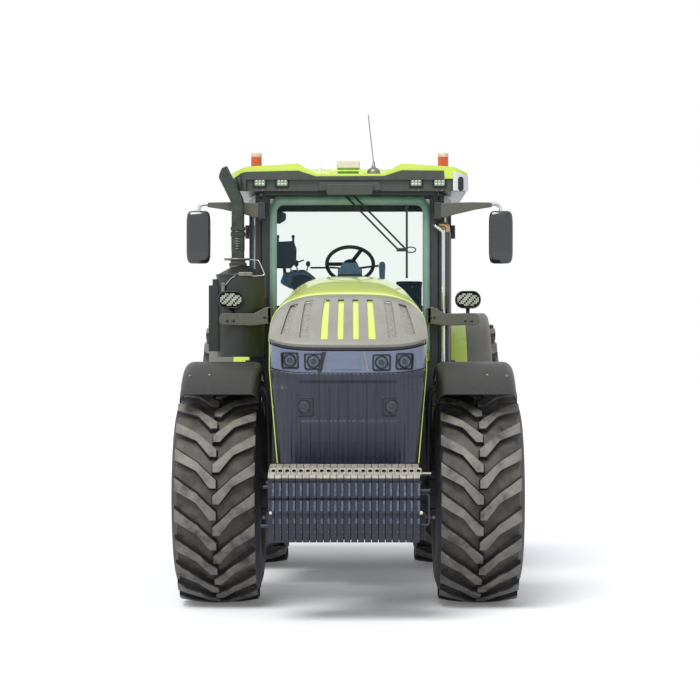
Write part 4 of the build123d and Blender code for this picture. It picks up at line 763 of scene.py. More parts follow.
# raised upright ribs, 62 mm apart, below the lamps and between them
for rib in range(-6, 7):
    x = rib * 0.062
    top = 1.245 if abs(x) > 0.2 else 1.50
    foot = 1.03
    ribs = [[grille_at(x + dx, mix(top, foot, r / 12)) + Vector((0, -proud, 0))
             for dx, proud in ((-0.004, 0.0005), (-0.002, 0.0055), (0.002, 0.0055), (0.004, 0.0005))]
            for r in range(13)]
    lay_out(sheet_mesh(f"grille_rib_{rib + 7}", ribs), grille_plastic, "bonnet")

# the left grille lamp gets the painted lit bowl copy, the right one the painted shade copy
for hand, side, bowl_finish in (("right", -1, reflector_painted_shade), ("left", 1, reflector)):
    x = side * 0.287
    face = grille_at(x, 1.36)
    headlamp(f"grille_lamp_{hand}", x, 1.362, 0.118, side * 0.05, bowl_finish, face.y - 0.004,
             (0.066, 0.064))

# ---- lime cheeks -------------------------------------------------------------------------------
# The bonnet's side sheets run down to the foot of the grille as narrow lime cheeks.
for hand, side in (("right", -1), ("left", 1)):
    cheek_rows = []
    for r in range(25):
        z = mix(1.80, 0.99, r / 24)
        low = eased(1.80 - z, 0, 0.81)
        half = mix(0.511, 0.458, max(0, (1.60 - z) / 0.61))
        front = nose_tip_y + mix(0.19, 0.165, low)
        rear = nose_tip_y + mix(0.40, 0.20, low)
        cheek_rows.append([Vector((side * half, mix(front, rear, c / 5), z)) for c in range(6)])
    cheek = thicken(sheet_mesh(f"bonnet_cheek_{hand}", cheek_rows), 6, 1.5, -side)
    lay_out(cheek, lime_gloss, "bonnet")

# ---- front weights -----------------------------------------------------------------------------
# Twenty-two cast iron suitcase weights, each with a rolled grip along its top, in dark enamel.
# Their top band, where it doesn't face down, is painted light: partly grips rubbed bare by handling, partly
# painted highlight; the faces below stay dark.
weight_iron, tree = new_finish("cast_iron_enamel_with_wear_and_painted_highlight")
patch = patches(tree, 9)
place = add_node(tree, "TexCoord").outputs["Object"]
parts = add_node(tree, "SeparateXYZ", links={0: place})
weights_low, weights_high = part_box("front_weights")
# the top band turns light where it faces up or out: partly bare worn steel, partly painted highlight
up = add_node(tree, "SeparateXYZ", links={0: add_node(tree, "NewGeometry").outputs["Normal"]}).outputs["Z"]
grip = add_node(tree, "MapRange", {"From Min": weights_high.z - 0.082, "From Max": weights_high.z - 0.07},
                {"Value": parts.outputs["Z"]}).outputs[0]
open_face = add_node(tree, "MapRange", {"From Min": -0.2, "From Max": 0.25}, {"Value": up}).outputs[0]
wear_and_painted_highlight = add_node(tree, "Math", operation="MULTIPLY", links={0: grip, 1: open_face}).outputs[0]
ragged = add_node(tree, "Math", {1: 0.35}, {0: patch, 2: wear_and_painted_highlight}, operation="MULTIPLY_ADD").outputs[0]
wear_and_painted_highlight = add_node(tree, "MapRange", {"From Min": 0.55, "From Max": 1.0}, {"Value": ragged}).outputs[0]
enamel = mixed_colour(tree, patch, "#23252F", "#2E3140")
steel = mixed_colour(tree, patch, "#8F8A80", "#C2BBAD")
finish_skin(tree, mixed_colour(tree, wear_and_painted_highlight, enamel, steel), patch, 0.34, 9, 0.2)
dress("front_weights", weight_iron, 4)
weight_pitch = 0.0433
weights_middle = (weights_low.x + weights_high.x) / 2
weight_places = [weights_middle + (weight - 10.5) * weight_pitch for weight in range(22)]
face_y = weights_low.y


def moulded_block(name, low, high, edge_mm, finish):
    """A moulded block between any two corners, with rounded edges."""
    low, high = tuple(map(min, low, high)), tuple(map(max, low, high))
    points = [(x, y, z) for y in (low[1], high[1])
              for x, z in ((low[0], low[2]), (high[0], low[2]), (high[0], high[2]), (low[0], high[2]))]
    faces = [(3, 2, 1, 0), (4, 5, 6, 7), (1, 5, 4, 0), (2, 6, 5, 1), (3, 7, 6, 2), (0, 4, 7, 3)]
    mesh = bpy.data.meshes.new(name)
    mesh.from_pydata(points, [], faces)
    piece = soften(bpy.data.objects.new(name, mesh), edge_mm, 25, 4)
    return lay_out(piece, finish)


def bar_through(name, points, radius, finish, closed=False):
    """A round bar or tube bent along smooth points."""
    curve = bpy.data.curves.new(name, "CURVE")
    curve.dimensions = "3D"
    curve.bevel_depth = radius
    curve.bevel_resolution = 4
    curve.resolution_u = 6
    curve.use_fill_caps = True
    line = curve.splines.new("POLY")
    line.points.add(len(points) - 1)
    for point, place in zip(line.points, points):
        point.co = (*place, 1)
    line.use_cyclic_u = closed
    line.use_smooth = True
    return lay_out(bpy.data.objects.new(name, curve), finish)


def bent(corners, radius, steps=6):
    """Points of a run of straights with round bends between them."""
    corners = [Vector(c) for c in corners]
    points = [corners[0]]
    for before, corner, after in zip(corners, corners[1:], corners[2:]):
        enter = corner + (before - corner).normalized() * radius
        leave = corner + (after - corner).normalized() * radius
        for k in range(steps + 1):
            s = k / steps
            points.append(enter * (1 - s) ** 2 + corner * 2 * s * (1 - s) + leave * s ** 2)
    points.append(corners[-1])
    return points


# raised cast bars stand on each weight: one on the upper face, one on the second, a stub on the foot; their
# light blue-grey is a painted highlight down the middle of each weight
bar_points, bar_faces = [], []
for x in weight_places:
    for top, foot, top_y, foot_y in ((0.897, 0.817, 0.0115, 0.0055), (0.787, 0.722, 0.019, 0.0135),
                                     (0.676, 0.642, 0.035, 0.046)):
        start = len(bar_points)
        for z, y in ((foot, foot_y), (top, top_y)):
            for dx, dy in ((-0.010, 0.012), (-0.0065, -0.004), (0.0065, -0.004), (0.010, 0.012)):
                bar_points.append((x + dx, face_y + y + dy, z))
        bar_faces += [tuple(start + k for k in face) for face in
                      ((0, 1, 5, 4), (1, 2, 6, 5), (2, 3, 7, 6), (0, 3, 2, 1), (4, 5, 6, 7))]
bar_mesh = bpy.data.meshes.new("weight_bars")
bar_mesh.from_pydata(bar_points, [], bar_faces)
bar_painted_highlight = mottled("blue_grey_painted_highlight", "#6E7A8E", "#3A4252", 5, 0.3, 0.4)
weight_bars = soften(bpy.data.objects.new("weight_bars", bar_mesh), 2, 30, 3)
lay_out(weight_bars, bar_painted_highlight)
for number, x in enumerate(weight_places):
    pin = turned(f"weight_pin_{number + 1}", [(0.005, 0.012), (0.005, 0.0), (0.003, -0.003), (0, -0.004)],
                 12)
    lay_out(set_at(pin, Vector((x, face_y + 0.064, 0.592))), brushed_steel)
# a bent handle on the left end of the stack, and a clamp at each end
handle_x = weights_middle + 11 * weight_pitch
bar_through("weight_handle", bent([(handle_x - 0.004, face_y + 0.07, 0.828),
                                   (handle_x + 0.042, face_y + 0.07, 0.828),
                                   (handle_x + 0.042, face_y + 0.07, 0.630),
                                   (handle_x - 0.004, face_y + 0.07, 0.638)],
                                  0.02), 0.0075, link_paint)
for hand, side, x in (("right", -1, weights_middle - 11 * weight_pitch), ("left", 1, handle_x)):
    clamp = turned(f"weight_clamp_{hand}",
                   [(0.0, -0.012), (0.009, -0.010), (0.012, 0.0), (0.012, 0.016), (0.009, 0.03)], 16)
    lay_out(set_at(clamp, Vector((x - side * 0.006, face_y + 0.022, 0.712))), cream_plastic)

# the grip of each weight: a sloping bar along the top, with a round finger hole through it
grip_points, grip_faces = [], []
grip_sides = 16
slope = Vector((0, 0.040, 0.040))
face_out = Vector((0, -0.7071, 0.7071))
for weight_x in weight_places:
    foot = Vector((weight_x, face_y + 0.034, 0.952))
    start = len(grip_points)
    ring_square, ring_hole = [], []
    for k in range(grip_sides):
        a = 2 * math.pi * (k + 0.5) / grip_sides
        across, rise = math.cos(a), math.sin(a)
        reach = max(abs(across), abs(rise))
        ring_square.append((across / reach * 0.0198, 0.5 + rise / reach * 0.5))
        ring_hole.append((across * 0.0125, 0.52 + rise * 0.0125 / slope.length))
    for depth, line in ((-0.012, ring_square), (0.0, ring_square), (0.0, ring_hole), (-0.016, ring_hole)):
        grip_points += [tuple(foot + Vector((x, 0, 0)) + slope * s + face_out * depth) for x, s in line]
    for ring in (start, start + grip_sides, start + 2 * grip_sides):
        for k in range(grip_sides):
            a, b = ring + k, ring + (k + 1) % grip_sides
            grip_faces.append((a, b, b + grip_sides, a + grip_sides))
    grip_faces.append(tuple(start + 3 * grip_sides + k for k in range(grip_sides)))
grip_mesh = bpy.data.meshes.new("weight_grips")
grip_mesh.from_pydata(grip_points, [], grip_faces)
grips = soften(bpy.data.objects.new("weight_grips", grip_mesh), 1.5, 40)
# the grips are light all over: partly iron rubbed bare by hands, partly painted highlight
grip_wear_and_painted_highlight = mottled("iron_grip_wear_and_painted_highlight", "#BDB5A6", "#8C867B", 6, 0.35, 0.25)
lay_out(grips, grip_wear_and_painted_highlight)
grips.data.materials.append(dark_plastic)
# the wall and floor of each finger hole are painted dark, as painted shade inside the holes
for index, face in enumerate(grips.data.polygons):
    if index % (3 * grip_sides + 1) >= 2 * grip_sides:
        face.material_index = 1
# a dark bar behind the weights' feet closes the view between them
moulded_block("weight_tie_bar", (weights_low.x + 0.03, face_y + 0.20, 0.53),
              (weights_high.x - 0.03, face_y + 0.24, 0.70),
              6, iron_dark)

# ---- glass -------------------------------------------------------------------------------------
# Tempered safety glass, 6 mm thick and bedded in the frame, with a faint green tint.
# Its printed border and the trim behind it show as a green-grey band inside the pillars.
tinted_glass, tree = new_finish("tinted_safety_glass")
clear = add_node(tree, "BsdfTransparent", {"Color": linear("#FCFEFD")})
shine = add_node(tree, "BsdfPrincipled", {"Base Color": linear("#9CC4BE"), "Roughness": 0.03})
facing = add_node(tree, "Fresnel", {"IOR": 1.45})
ripple = patches(tree, 400)
share = add_node(tree, "MapRange", {"From Min": 0.034, "From Max": 1.0, "To Min": 0.01, "To Max": 0.6},
                 {"Value": facing.outputs[0]})
share = add_node(tree, "Math", {1: 0.01}, {0: ripple, 2: share.outputs[0]}, operation="MULTIPLY_ADD")
pane = add_node(tree, "MixShader", links={0: share.outputs[0], 1: clear.outputs[0], 2: shine.outputs[0]})
add_node(tree, "OutputMaterial", links={"Surface": pane.outputs[0]})
for node in ("windscreen", "rear_windows", "door_glass_left", "door_glass_right"):
    dress(node, tinted_glass, 0)

border_green = mottled("printed_glass_border", "#BFDCD0", "#9CC4B2", 60, 0.35, 0.02, coat=0.2)
screen_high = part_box("windscreen")[1]
screen_half = screen_high.x - 0.014
screen_edge_y = screen_high.y - 0.006


def screen_y(x):
    """How far forward the bowed glass stands."""
    return screen_edge_y - 0.040 * (1 - (x / (screen_half + 0.014)) ** 2)


inner_half = screen_half - 0.052
inner_top = screen_high.z - 0.085
outline_in = [(-inner_half, 1.70)] + [(-inner_half, mix(1.75, inner_top - 0.05, k / 14)) for k in range(15)]
outline_in += [(-inner_half + 0.05 * (1 - math.cos(a)), inner_top - 0.05 + 0.05 * math.sin(a))
               for a in (math.pi / 2 * k / 6 for k in range(1, 7))]
outline_in += [(mix(-inner_half + 0.06, 0, k / 12), inner_top) for k in range(1, 13)]
outline_out = []
for x, z in outline_in:
    outline_out.append((-screen_half, z) if x < -inner_half + 0.03 and z < inner_top - 0.004 else
                       (min(-screen_half + (x + inner_half) * 1.1, 0) if x < 0 else 0,
                        screen_high.z - 0.02))
left_in = [(-x, z) for x, z in reversed(outline_in[:-1])]
left_out = [(-x, z) for x, z in reversed(outline_out[:-1])]
inner_line = outline_in + left_in
outer_line = outline_out + left_out
border_rows = [[Vector((x, screen_y(x) + 0.010, z)) for x, z in inner_line],
               [Vector((x, screen_y(x) + 0.008, z)) for x, z in outer_line]]
border = thicken(sheet_mesh("windscreen_border", border_rows), 4, 0, 1)
lay_out(border, border_green)

# ---- roof fascia -------------------------------------------------------------------------------
# The roof's moulded front carries four square lamps of nine diodes each, in dark bays.
# A visor over the wiper and its pivot stands in the middle, and a lamp at each outer corner.
led_clear = mottled("diode_lens", "#F4F6EE", "#DCE4D6", 5, 0.25, 0.2)
led_dark = mottled("diode_lamp_body", "#A4B2A2", "#87968A", 5, 0.35, 0.2)
white_gloss = mottled("gloss_white_moulding", "#F2F5F8", "#E2E8EE", 30, 0.2, 0.02, coat=0.4)
fascia_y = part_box("roof_base")[0].y
lamp_z = 2.968
for number, x in enumerate((-0.658, -0.494, 0.487, 0.658)):
    place = Vector((x, fascia_y - 0.012, lamp_z))
    bay_rows = [(rounded_outline(0.052, 0.050, 0.012), 0.04), (rounded_outline(0.052, 0.050, 0.012), 0.004),
                (rounded_outline(0.047, 0.045, 0.011), -0.002),
                (rounded_outline(0.043, 0.041, 0.010), 0.004),
                (rounded_outline(0.041, 0.039, 0.009), 0.006)]
    bay = set_at(stepped_frame(f"roof_lamp_bay_{number + 1}", bay_rows[::-1]), place)
    lay_out(bay, dark_plastic, covers=["work_lamps"] if number == 0 else [])
    pane_rows = [(rounded_outline(0.040, 0.038, 0.010), 0.008),
                 (rounded_outline(0.040, 0.038, 0.010), -0.002),
                 (rounded_outline(0.037, 0.035, 0.009), -0.005)]
    pane_piece = set_at(stepped_frame(f"roof_lamp_pane_{number + 1}", pane_rows), place)
    lay_out(pane_piece, led_dark)
    for row in range(3):
        for column in range(3):
            spot = Vector((x + (column - 1) * 0.024, fascia_y - 0.0165, lamp_z + (row - 1) * 0.023))
            dome = [(0.0095, 0.004), (0.0085, -0.002), (0.005, -0.005), (0, -0.006)]
            diode = turned(f"diode_{number + 1}_{row}_{column}", dome, 12)
            lay_out(set_at(diode, spot), led_clear)
    for end, dx in (("a", -0.02), ("b", 0.02)):
        head = [(0.006, 0.006), (0.006, -0.001), (0.004, -0.003), (0, -0.003)]
        screw = turned(f"roof_lamp_screw_{number + 1}_{end}", head, 10)
        lay_out(set_at(screw, Vector((x + dx, fascia_y - 0.004, 2.900))), brushed_steel)


def roof_edge(x, proud=0.0):
    """How far forward the roof stands at a distance across."""
    past = max(abs(x) - 0.735, 0)
    return -0.262 - proud + 0.14 - math.sqrt(max(0.14 ** 2 - past ** 2, 0))


# the fascia's upper edge laps over the lime panel, low in the middle and high over the lamps
upper_line = [(-0.850, 2.990), (-0.790, 3.026), (-0.76, 3.034), (-0.378, 3.043), (-0.248, 3.002),
              (0.252, 3.004),
              (0.381, 3.046), (0.752, 3.042)]
upper_rows = [[], []]
for (x0, z0), (x1, z1) in zip(upper_line, upper_line[1:]):
    for k in range(6):
        x, z = mix(x0, x1, k / 6), mix(z0, z1, k / 6)
        upper_rows[0].append(Vector((x, roof_edge(x, 0.003), 2.975)))
        upper_rows[1].append(Vector((x, roof_edge(x, 0.003), z)))
upper = thicken(sheet_mesh("fascia_upper", upper_rows), 5, 1.5, 1)
lay_out(upper, fascia_plastic)


def plate_between(name, outline, y0, y1, edge_mm, finish, covers=(), angle=20):
    """An outline in X and Z carried between two distances along the tractor, with rounded edges."""
    count = len(outline)
    mesh = bpy.data.meshes.new(name)
    mesh.from_pydata([(x, y0, z) for x, z in outline] + [(x, y1, z) for x, z in outline], [],
                     [tuple(range(count))[::-1], tuple(range(count, 2 * count))]
                     + [(k, (k + 1) % count, count + (k + 1) % count, count + k) for k in range(count)])
    shape = bmesh.new()
    shape.from_mesh(mesh)
    bmesh.ops.recalc_face_normals(shape, faces=shape.faces)
    shape.to_mesh(mesh)
    shape.free()
    plate = soften(bpy.data.objects.new(name, mesh), edge_mm, angle, 3)
    return lay_out(plate, finish, covers=covers)


# visor: a wide shallow hood with a narrower wiper box under it
visor_line = [(-0.236, 2.897), (-0.222, 2.952), (-0.21, 2.958), (0.21, 2.958), (0.222, 2.952),
              (0.236, 2.897)]
wiper_box_line = [(-0.165, 2.865), (-0.178, 2.945), (0.178, 2.945), (0.165, 2.865)]
for name, outline, proud, depth in (("visor_hood", visor_line, 0.022, 0.03),
                                    ("wiper_box", wiper_box_line, 0.036, 0.04)):
    plate_between(name, outline, fascia_y - proud, fascia_y + depth, 5, fascia_plastic)
stud = turned("visor_stud", [(0.017, 0.02), (0.017, -0.004), (0.012, -0.010), (0, -0.014)], 20)
lay_out(set_at(stud, Vector((-0.005, fascia_y - 0.006, 2.987))), chrome)
trim_rows = [[Vector((mix(-0.62, 0.62, k / 24), fascia_y + 0.05, z)) for k in range(25)]
             for z in (2.862, 2.900)]
lay_out(thicken(sheet_mesh("screen_header", trim_rows), 30, 4, 1), dark_plastic)

# corner ends: a white cap on the left, a black upright lamp on each
for hand, side in (("right", -1), ("left", 1)):
    cap_finish, top_z = (white_gloss, 3.040) if side > 0 else (fascia_plastic, 2.984)
    cap_rows = []
    for r in range(9):
        cap_rows.append([Vector((side * x, roof_edge(x, 0.004),
                                 mix(2.896, mix(top_z, top_z - 0.035, k / 12), r / 8)))
                         for k, x in enumerate(mix(0.756, 0.868, c / 12) for c in range(13))])
    cap = thicken(sheet_mesh(f"roof_corner_{hand}", cap_rows), 6, 2, side)
    lay_out(cap, cap_finish)
    spot = Vector((side * 0.812, roof_edge(0.812, 0.006), 2.948))
    post_rows = [(rounded_outline(0.024, 0.052, 0.02), 0.05), (rounded_outline(0.024, 0.052, 0.02), -0.004),
                 (rounded_outline(0.019, 0.047, 0.016), -0.012)]
    lay_out(set_at(stepped_frame(f"corner_lamp_{hand}", post_rows), spot, 0, side * 0.5), dark_plastic)

# ---- receiver, sensor and whip antenna ---------------------------------------------------------
# A cream positioning receiver sits on a green base over a lime hump in the roof's recess.
# A small sensor stands to its right, and the whip to its left has a chromed ball foot.
receiver_green = mottled("moulded_green_base", "#4E9020", "#43801B", 10, 0.35, 0.03, coat=0.2)
receiver_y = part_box("roof_antennas")[0].y
hump_line = [(-0.135, 0.0), (-0.115, 0.022), (-0.098, 0.036), (-0.075, 0.040), (0.075, 0.040),
             (0.098, 0.036),
             (0.115, 0.022), (0.135, 0.0)]
hump_rows = [[Vector((x - 0.011, receiver_y + 0.03 * r, 3.020 + lift * min(1.0, 0.5 + r * 0.3)))
              for x, lift in hump_line] for r in range(7)]
lay_out(thicken(sheet_mesh("receiver_hump", hump_rows), 10, 2, 1), lime_metal,
        covers=["roof_antennas"])
moulded_block("receiver_base", (-0.088, receiver_y + 0.004, 3.022), (0.066, receiver_y + 0.15, 3.066), 7,
              receiver_green)
moulded_block("receiver_head", (-0.096, receiver_y, 3.064), (0.074, receiver_y + 0.168, 3.122), 9,
              cream_plastic)


def stood_up(piece, place):
    """Turns a mesh made about Y so that its depth runs upward, and puts it in place."""
    piece.data.transform(Matrix.Translation(place) @ Matrix.Rotation(math.radians(90), 4, "X"))
    return piece


sensor = turned("roof_sensor", [(0.018, 0.0), (0.018, 0.01), (0.011, 0.016), (0.012, 0.045), (0.007, 0.058),
                                (0, 0.06)], 20)
lay_out(stood_up(sensor, Vector((-0.218, receiver_y + 0.05, 3.018))), cream_plastic)
ball = turned("whip_foot", [(0.046, 0.0), (0.050, 0.012), (0.048, 0.030), (0.034, 0.048), (0.016, 0.056),
                            (0.010, 0.075),
                            (0.007, 0.10), (0, 0.10)], 28)
whip_place = Vector((0.176, receiver_y + 0.06, 3.018))
lay_out(stood_up(ball, whip_place), brushed_steel)
bar_through("whip_rod", [whip_place + Vector((-0.004 * r, 0, 0.09 + 0.0353 * r)) for r in range(11)],
            0.0035, brushed_steel)

# ---- beacons -----------------------------------------------------------------------------------
# Each warning beacon is an amber ribbed drum on a black foot, under a clear cap.
amber_lens = mottled("amber_acrylic_lens", "#E2600F", "#C4480A", 8, 0.15, 0.1, coat=0.4)
cap_clear = mottled("clear_acrylic_cap", "#F3D9C4", "#D9B79C", 8, 0.1, 0.05, coat=0.5)
for hand, side in (("right", -1), ("left", 1)):
    place = Vector((side * 0.690, fascia_y + 0.156, 3.055))
    foot = turned(f"beacon_foot_{hand}", [(0.052, 0.0), (0.052, 0.02), (0.046, 0.026), (0.0, 0.026)], 32)
    lay_out(stood_up(foot, place), dark_plastic, covers=["beacons"] if side < 0 else [])
    drum_line = [(0.0395 + 0.001 * (k % 2), 0.026 + 0.007 * k) for k in range(12)] + [(0.036, 0.108),
                                                                                      (0.0, 0.108)]
    drum = turned(f"beacon_drum_{hand}", drum_line, 32)
    lay_out(stood_up(drum, place), amber_lens)
    cap_line = [(0.041, 0.100), (0.042, 0.104), (0.042, 0.118), (0.040, 0.126), (0.035, 0.131), (0, 0.133)]
    cap = turned(f"beacon_cap_{hand}", cap_line, 32)
    lay_out(stood_up(cap, place), cap_clear)
    inner = turned(f"beacon_core_{hand}", [(0.020, 0.020), (0.020, 0.1), (0.0, 0.1)], 20)
    lay_out(stood_up(inner, place), chrome)

# ---- wiper -------------------------------------------------------------------------------------
# The wiper's black steel arms come from the solid model.
# They end in a flat wire loop that carries the blade's pivot.
loop_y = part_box("wiper")[0].y + 0.012
loop_points = [(0.450 + 0.036 * math.cos(a), loop_y, 2.468 + 0.020 * math.sin(a))
               for a in (2 * math.pi * k / 16 for k in range(16))]
bar_through("wiper_end_loop", loop_points, 0.0045, dark_plastic, closed=True)

# ---- mirrors -----------------------------------------------------------------------------------
# Two tall mirrors on long arms. Each head is a crowned gloss black shell with a glass in its rear.
# It hangs from a bent chromed rod at the end of a tapered, satin painted arm.
mirror_glass = mottled("mirror_glass", "#C9D2D8", "#BFC9D0", 40, 0.05, 0.0, metallic=1.0)
mirror_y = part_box("mirrors")[0].y + 0.035


def crowned_shell(name, middle, half, depth, power):
    """A closed shell like a flattened pebble, its rear flat; a higher power squares its outline."""
    steps, rounds = 28, 12
    rows = []
    for r in range(rounds + 1):
        lift = math.pi / 2 * r / rounds
        scale = math.cos(lift) ** 0.45 if r < rounds else 0.001
        rows.append([Vector((half[0] * scale * signed_power(math.cos(a), 2 / power),
                             -depth * math.sin(lift) ** 0.9,
                             half[1] * scale * signed_power(math.sin(a), 2 / power)))
                     for a in (2 * math.pi * k / steps for k in range(steps))])
    rear = [[Vector((p.x * s, y, p.z * s)) for p in rows[0]] for s,
            y in ((0.96, 0.028), (0.99, 0.018), (1.0, 0.008))]
    piece = sheet_mesh(name, [[Vector((p.x * 0.001, 0.028, p.z * 0.001)) for p in rows[0]]] + rear + rows,
                       closed=True)
    piece.data.transform(Matrix.Translation(middle))
    return piece


for hand, side in (("right", -1), ("left", 1)):
    middle = Vector((side * 1.110, mirror_y, 2.558))
    head = crowned_shell(f"mirror_head_{hand}", middle, (0.089, 0.195), 0.034, 6)
    lay_out(head, mirror_shell, covers=["mirrors"] if side < 0 else [])
    pane_rows = [(rounded_outline(0.078, 0.18, 0.045), 0.0), (rounded_outline(0.078, 0.18, 0.045), 0.004)]
    lay_out(set_at(stepped_frame(f"mirror_glass_{hand}", pane_rows), middle + Vector((0, 0.027, 0))),
            mirror_glass)
    bar_through(f"mirror_rod_{hand}", bent([(side * 1.00, mirror_y, 2.800), (side * 1.108, mirror_y, 2.803),
                                            (side * 1.108, mirror_y, 2.735)], 0.05), 0.0125, chrome)
    arm_line = [(0.652, 2.700), (0.652, 2.808), (0.90, 2.815), (1.030, 2.813), (1.045, 2.806),
                (1.045, 2.780),
                (0.93, 2.762), (0.76, 2.722), (0.70, 2.703)]
    plate_between(f"mirror_arm_{hand}", [(side * x, z) for x, z in arm_line], mirror_y - 0.018,
                  mirror_y + 0.018, 5,
                  step_paint, angle=25)
    moulded_block(f"mirror_arm_foot_{hand}", (side * 0.620, mirror_y - 0.02, 2.69),
                  (side * 0.672, -0.098, 2.815), 6, cab_paint)

# ---- work lamps on their brackets --------------------------------------------------------------
# Painted steel brackets bolt to the front pillars, each carrying an oval lamp.
# The lamp's moulded black body holds a facetted front glass over a dark bowl.
# the front glass is an opaque light finish whose patches are painted glints
facetted = mottled("front_glass_painted_glints", "#F4F5EA", "#B7BAA6", 12, 0.2, 0.3)
bracket_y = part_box("lamp_brackets")[0].y + 0.002
plate_line = [(0.560, 1.922), (0.560, 2.036), (0.60, 2.040), (0.690, 1.992), (0.90, 1.996), (0.925, 1.985),
              (0.938, 1.960),
              (0.938, 1.935), (0.925, 1.916), (0.905, 1.910), (0.69, 1.905)]
for hand, side in (("right", -1), ("left", 1)):
    plate_between(f"lamp_bracket_{hand}", [(side * x, z) for x, z in plate_line], bracket_y,
                  bracket_y + 0.022, 5,
                  step_paint, covers=["lamp_brackets"] if side < 0 else [])
    moulded_block(f"lamp_bracket_arm_{hand}", (side * 0.562, bracket_y, 1.922),
                  (side * 0.590, -0.16, 2.036), 4,
                  step_paint)
    moulded_block(f"lamp_bracket_foot_{hand}", (side * 0.562, -0.165, 1.922), (side * 0.648, -0.10, 2.036),
                  4,
                  step_paint)
    for number, (x, z) in enumerate(((0.835, 1.94), (0.880, 1.94), (0.585, 1.965), (0.612, 1.965))):
        bolt = turned(f"bracket_bolt_{hand}_{number + 1}",
                      [(0.009, 0.006), (0.009, -0.003), (0.007, -0.006), (0, -0.007)], 12)
        lay_out(set_at(bolt, Vector((side * x, bracket_y - 0.001, z))), dark_plastic)
    place = Vector((side * 0.853, bracket_y - 0.012, 2.092))
    body_rows = [(rounded_outline(0.070, 0.045, 0.044), 0.085),
                 (rounded_outline(0.092, 0.062, 0.058), 0.05),
                 (rounded_outline(0.093, 0.064, 0.060), 0.0),
                 (rounded_outline(0.089, 0.060, 0.057), -0.006),
                 (rounded_outline(0.084, 0.055, 0.052), -0.006),
                 (rounded_outline(0.082, 0.053, 0.050), 0.004)]
    lay_out(set_at(stepped_frame(f"oval_lamp_{hand}", body_rows[::-1]), place), lamp_black)
    bowl_rows = [(rounded_outline(0.081, 0.052, 0.050), -0.002),
                 (rounded_outline(0.068, 0.040, 0.038), 0.0035)]
    lay_out(set_at(stepped_frame(f"oval_lamp_bowl_{hand}", bowl_rows[::-1]), place), lamp_black)
    # facets of the front glass: small tilted panes that leave out every fourth place; their opaque
    # near-white patchy colour is painted glints
    corners, panes = [], []
    for column in range(-6, 7):
        for row in range(-3, 4):
            x, z = column * 0.0118, row * 0.0128
            if (x / 0.076) ** 2 + (z / 0.047) ** 2 < 1 and (column * 5 + row * 3) % 4 != 0:
                tilt = ((column * 7 + row * 11) % 5 - 2) * 0.0007
                panes.append(tuple(range(len(corners), len(corners) + 4)))
                corners += [(x - 0.0052, -0.006, z - 0.0056 + tilt),
                            (x + 0.0052, -0.006 - tilt, z - 0.0056),
                            (x + 0.0052, -0.009, z + 0.0056),
                            (x - 0.0052, -0.009 + tilt, z + 0.0056 - tilt)]
    mesh = bpy.data.meshes.new(f"oval_lamp_facets_{hand}")
    mesh.from_pydata(corners, [], panes)
    facets = thicken(bpy.data.objects.new(f"oval_lamp_facets_{hand}", mesh), 2, 0.4, 0)
    lay_out(set_at(facets, place), facetted)
    stalk = turned(f"oval_lamp_stalk_{hand}", [(0.014, 0.0), (0.014, 0.05), (0, 0.05)], 16)
    lay_out(stood_up(stalk, place + Vector((0, 0.035, -0.105))), link_paint)

# ---- exhaust fittings --------------------------------------------------------------------------
# The stack clamps to a flange on the canister's dome; an over-centre wire latch holds the lid.
pipe_x, pipe_y = -0.814, -0.330
for name, profile, x, z, finish in (
        ("stack_flange", [(0.047, 0.0), (0.100, 0.002), (0.104, 0.008), (0.100, 0.015), (0.047, 0.018)],
         pipe_x, 2.382, brushed_steel),
        ("stack_collar", [(0.060, 0.0), (0.062, 0.01), (0.052, 0.055), (0.049, 0.06)], pipe_x, 2.330,
         brushed_steel),
        ("canister_rim", [(0.176, 0.0), (0.1845, 0.004), (0.1845, 0.016), (0.176, 0.020)],
         -0.790, 2.262, canister_paint)):
    lay_out(stood_up(turned(name, profile, 48), Vector((x, pipe_y, z))), finish)
bar_through("latch_wire_high", bent([(-0.720, -0.430, 2.385), (-0.655, -0.470, 2.378),
                                     (-0.610, -0.480, 2.270),
                                     (-0.700, -0.500, 2.262), (-0.790, -0.510, 2.285)], 0.02), 0.004,
            chrome)
bar_through("latch_wire_low", bent([(-0.790, -0.510, 2.285), (-0.850, -0.506, 2.250),
                                    (-0.905, -0.480, 2.190)], 0.02),
            0.0035, chrome)
moulded_block("latch_saddle", (-0.800, -0.516, 2.262), (-0.700, -0.470, 2.292), 5, brushed_steel)
moulded_block("latch_hook", (-0.925, -0.490, 2.150), (-0.900, -0.452, 2.215), 4, brushed_steel)
for k in range(9):
    rib = turned(f"flex_pipe_ring_{k + 1}",
                 [(0.0475, 0.0), (0.0515, 0.006), (0.0515, 0.010), (0.0475, 0.016)], 32)
    lay_out(stood_up(rib, Vector((pipe_x, pipe_y, 2.455 + 0.018 * k))), stack_steel)

# ---- rail and tubes on the left front pillar ---------------------------------------------------
# A chromed grab rail stands beside a dark air tube whose brass elbow turns in at its top.
brass = mottled("yellow_passivated_elbow", "#C9A878", "#A98A5C", 6, 0.3, 0.05, metallic=0.8)
bar_through("air_tube_left", [(0.722, -0.152, 1.50), (0.722, -0.152, 2.0), (0.722, -0.152, 2.600)], 0.019,
            mirror_shell)
bar_through("air_elbow_left", bent([(0.722, -0.152, 2.595), (0.722, -0.152, 2.655), (0.664, -0.130, 2.655)],
                                   0.035),
            0.017, brass)
bar_through("grab_rail_left", [(0.694, -0.145, 1.52), (0.694, -0.145, 2.1), (0.694, -0.145, 2.612)], 0.0165,
            chrome)
moulded_block("rail_clip_high", (0.650, -0.150, 2.610), (0.716, -0.100, 2.640), 4, brushed_steel)
moulded_block("rail_clip_low", (0.650, -0.150, 1.530), (0.735, -0.100, 1.555), 4, brushed_steel)

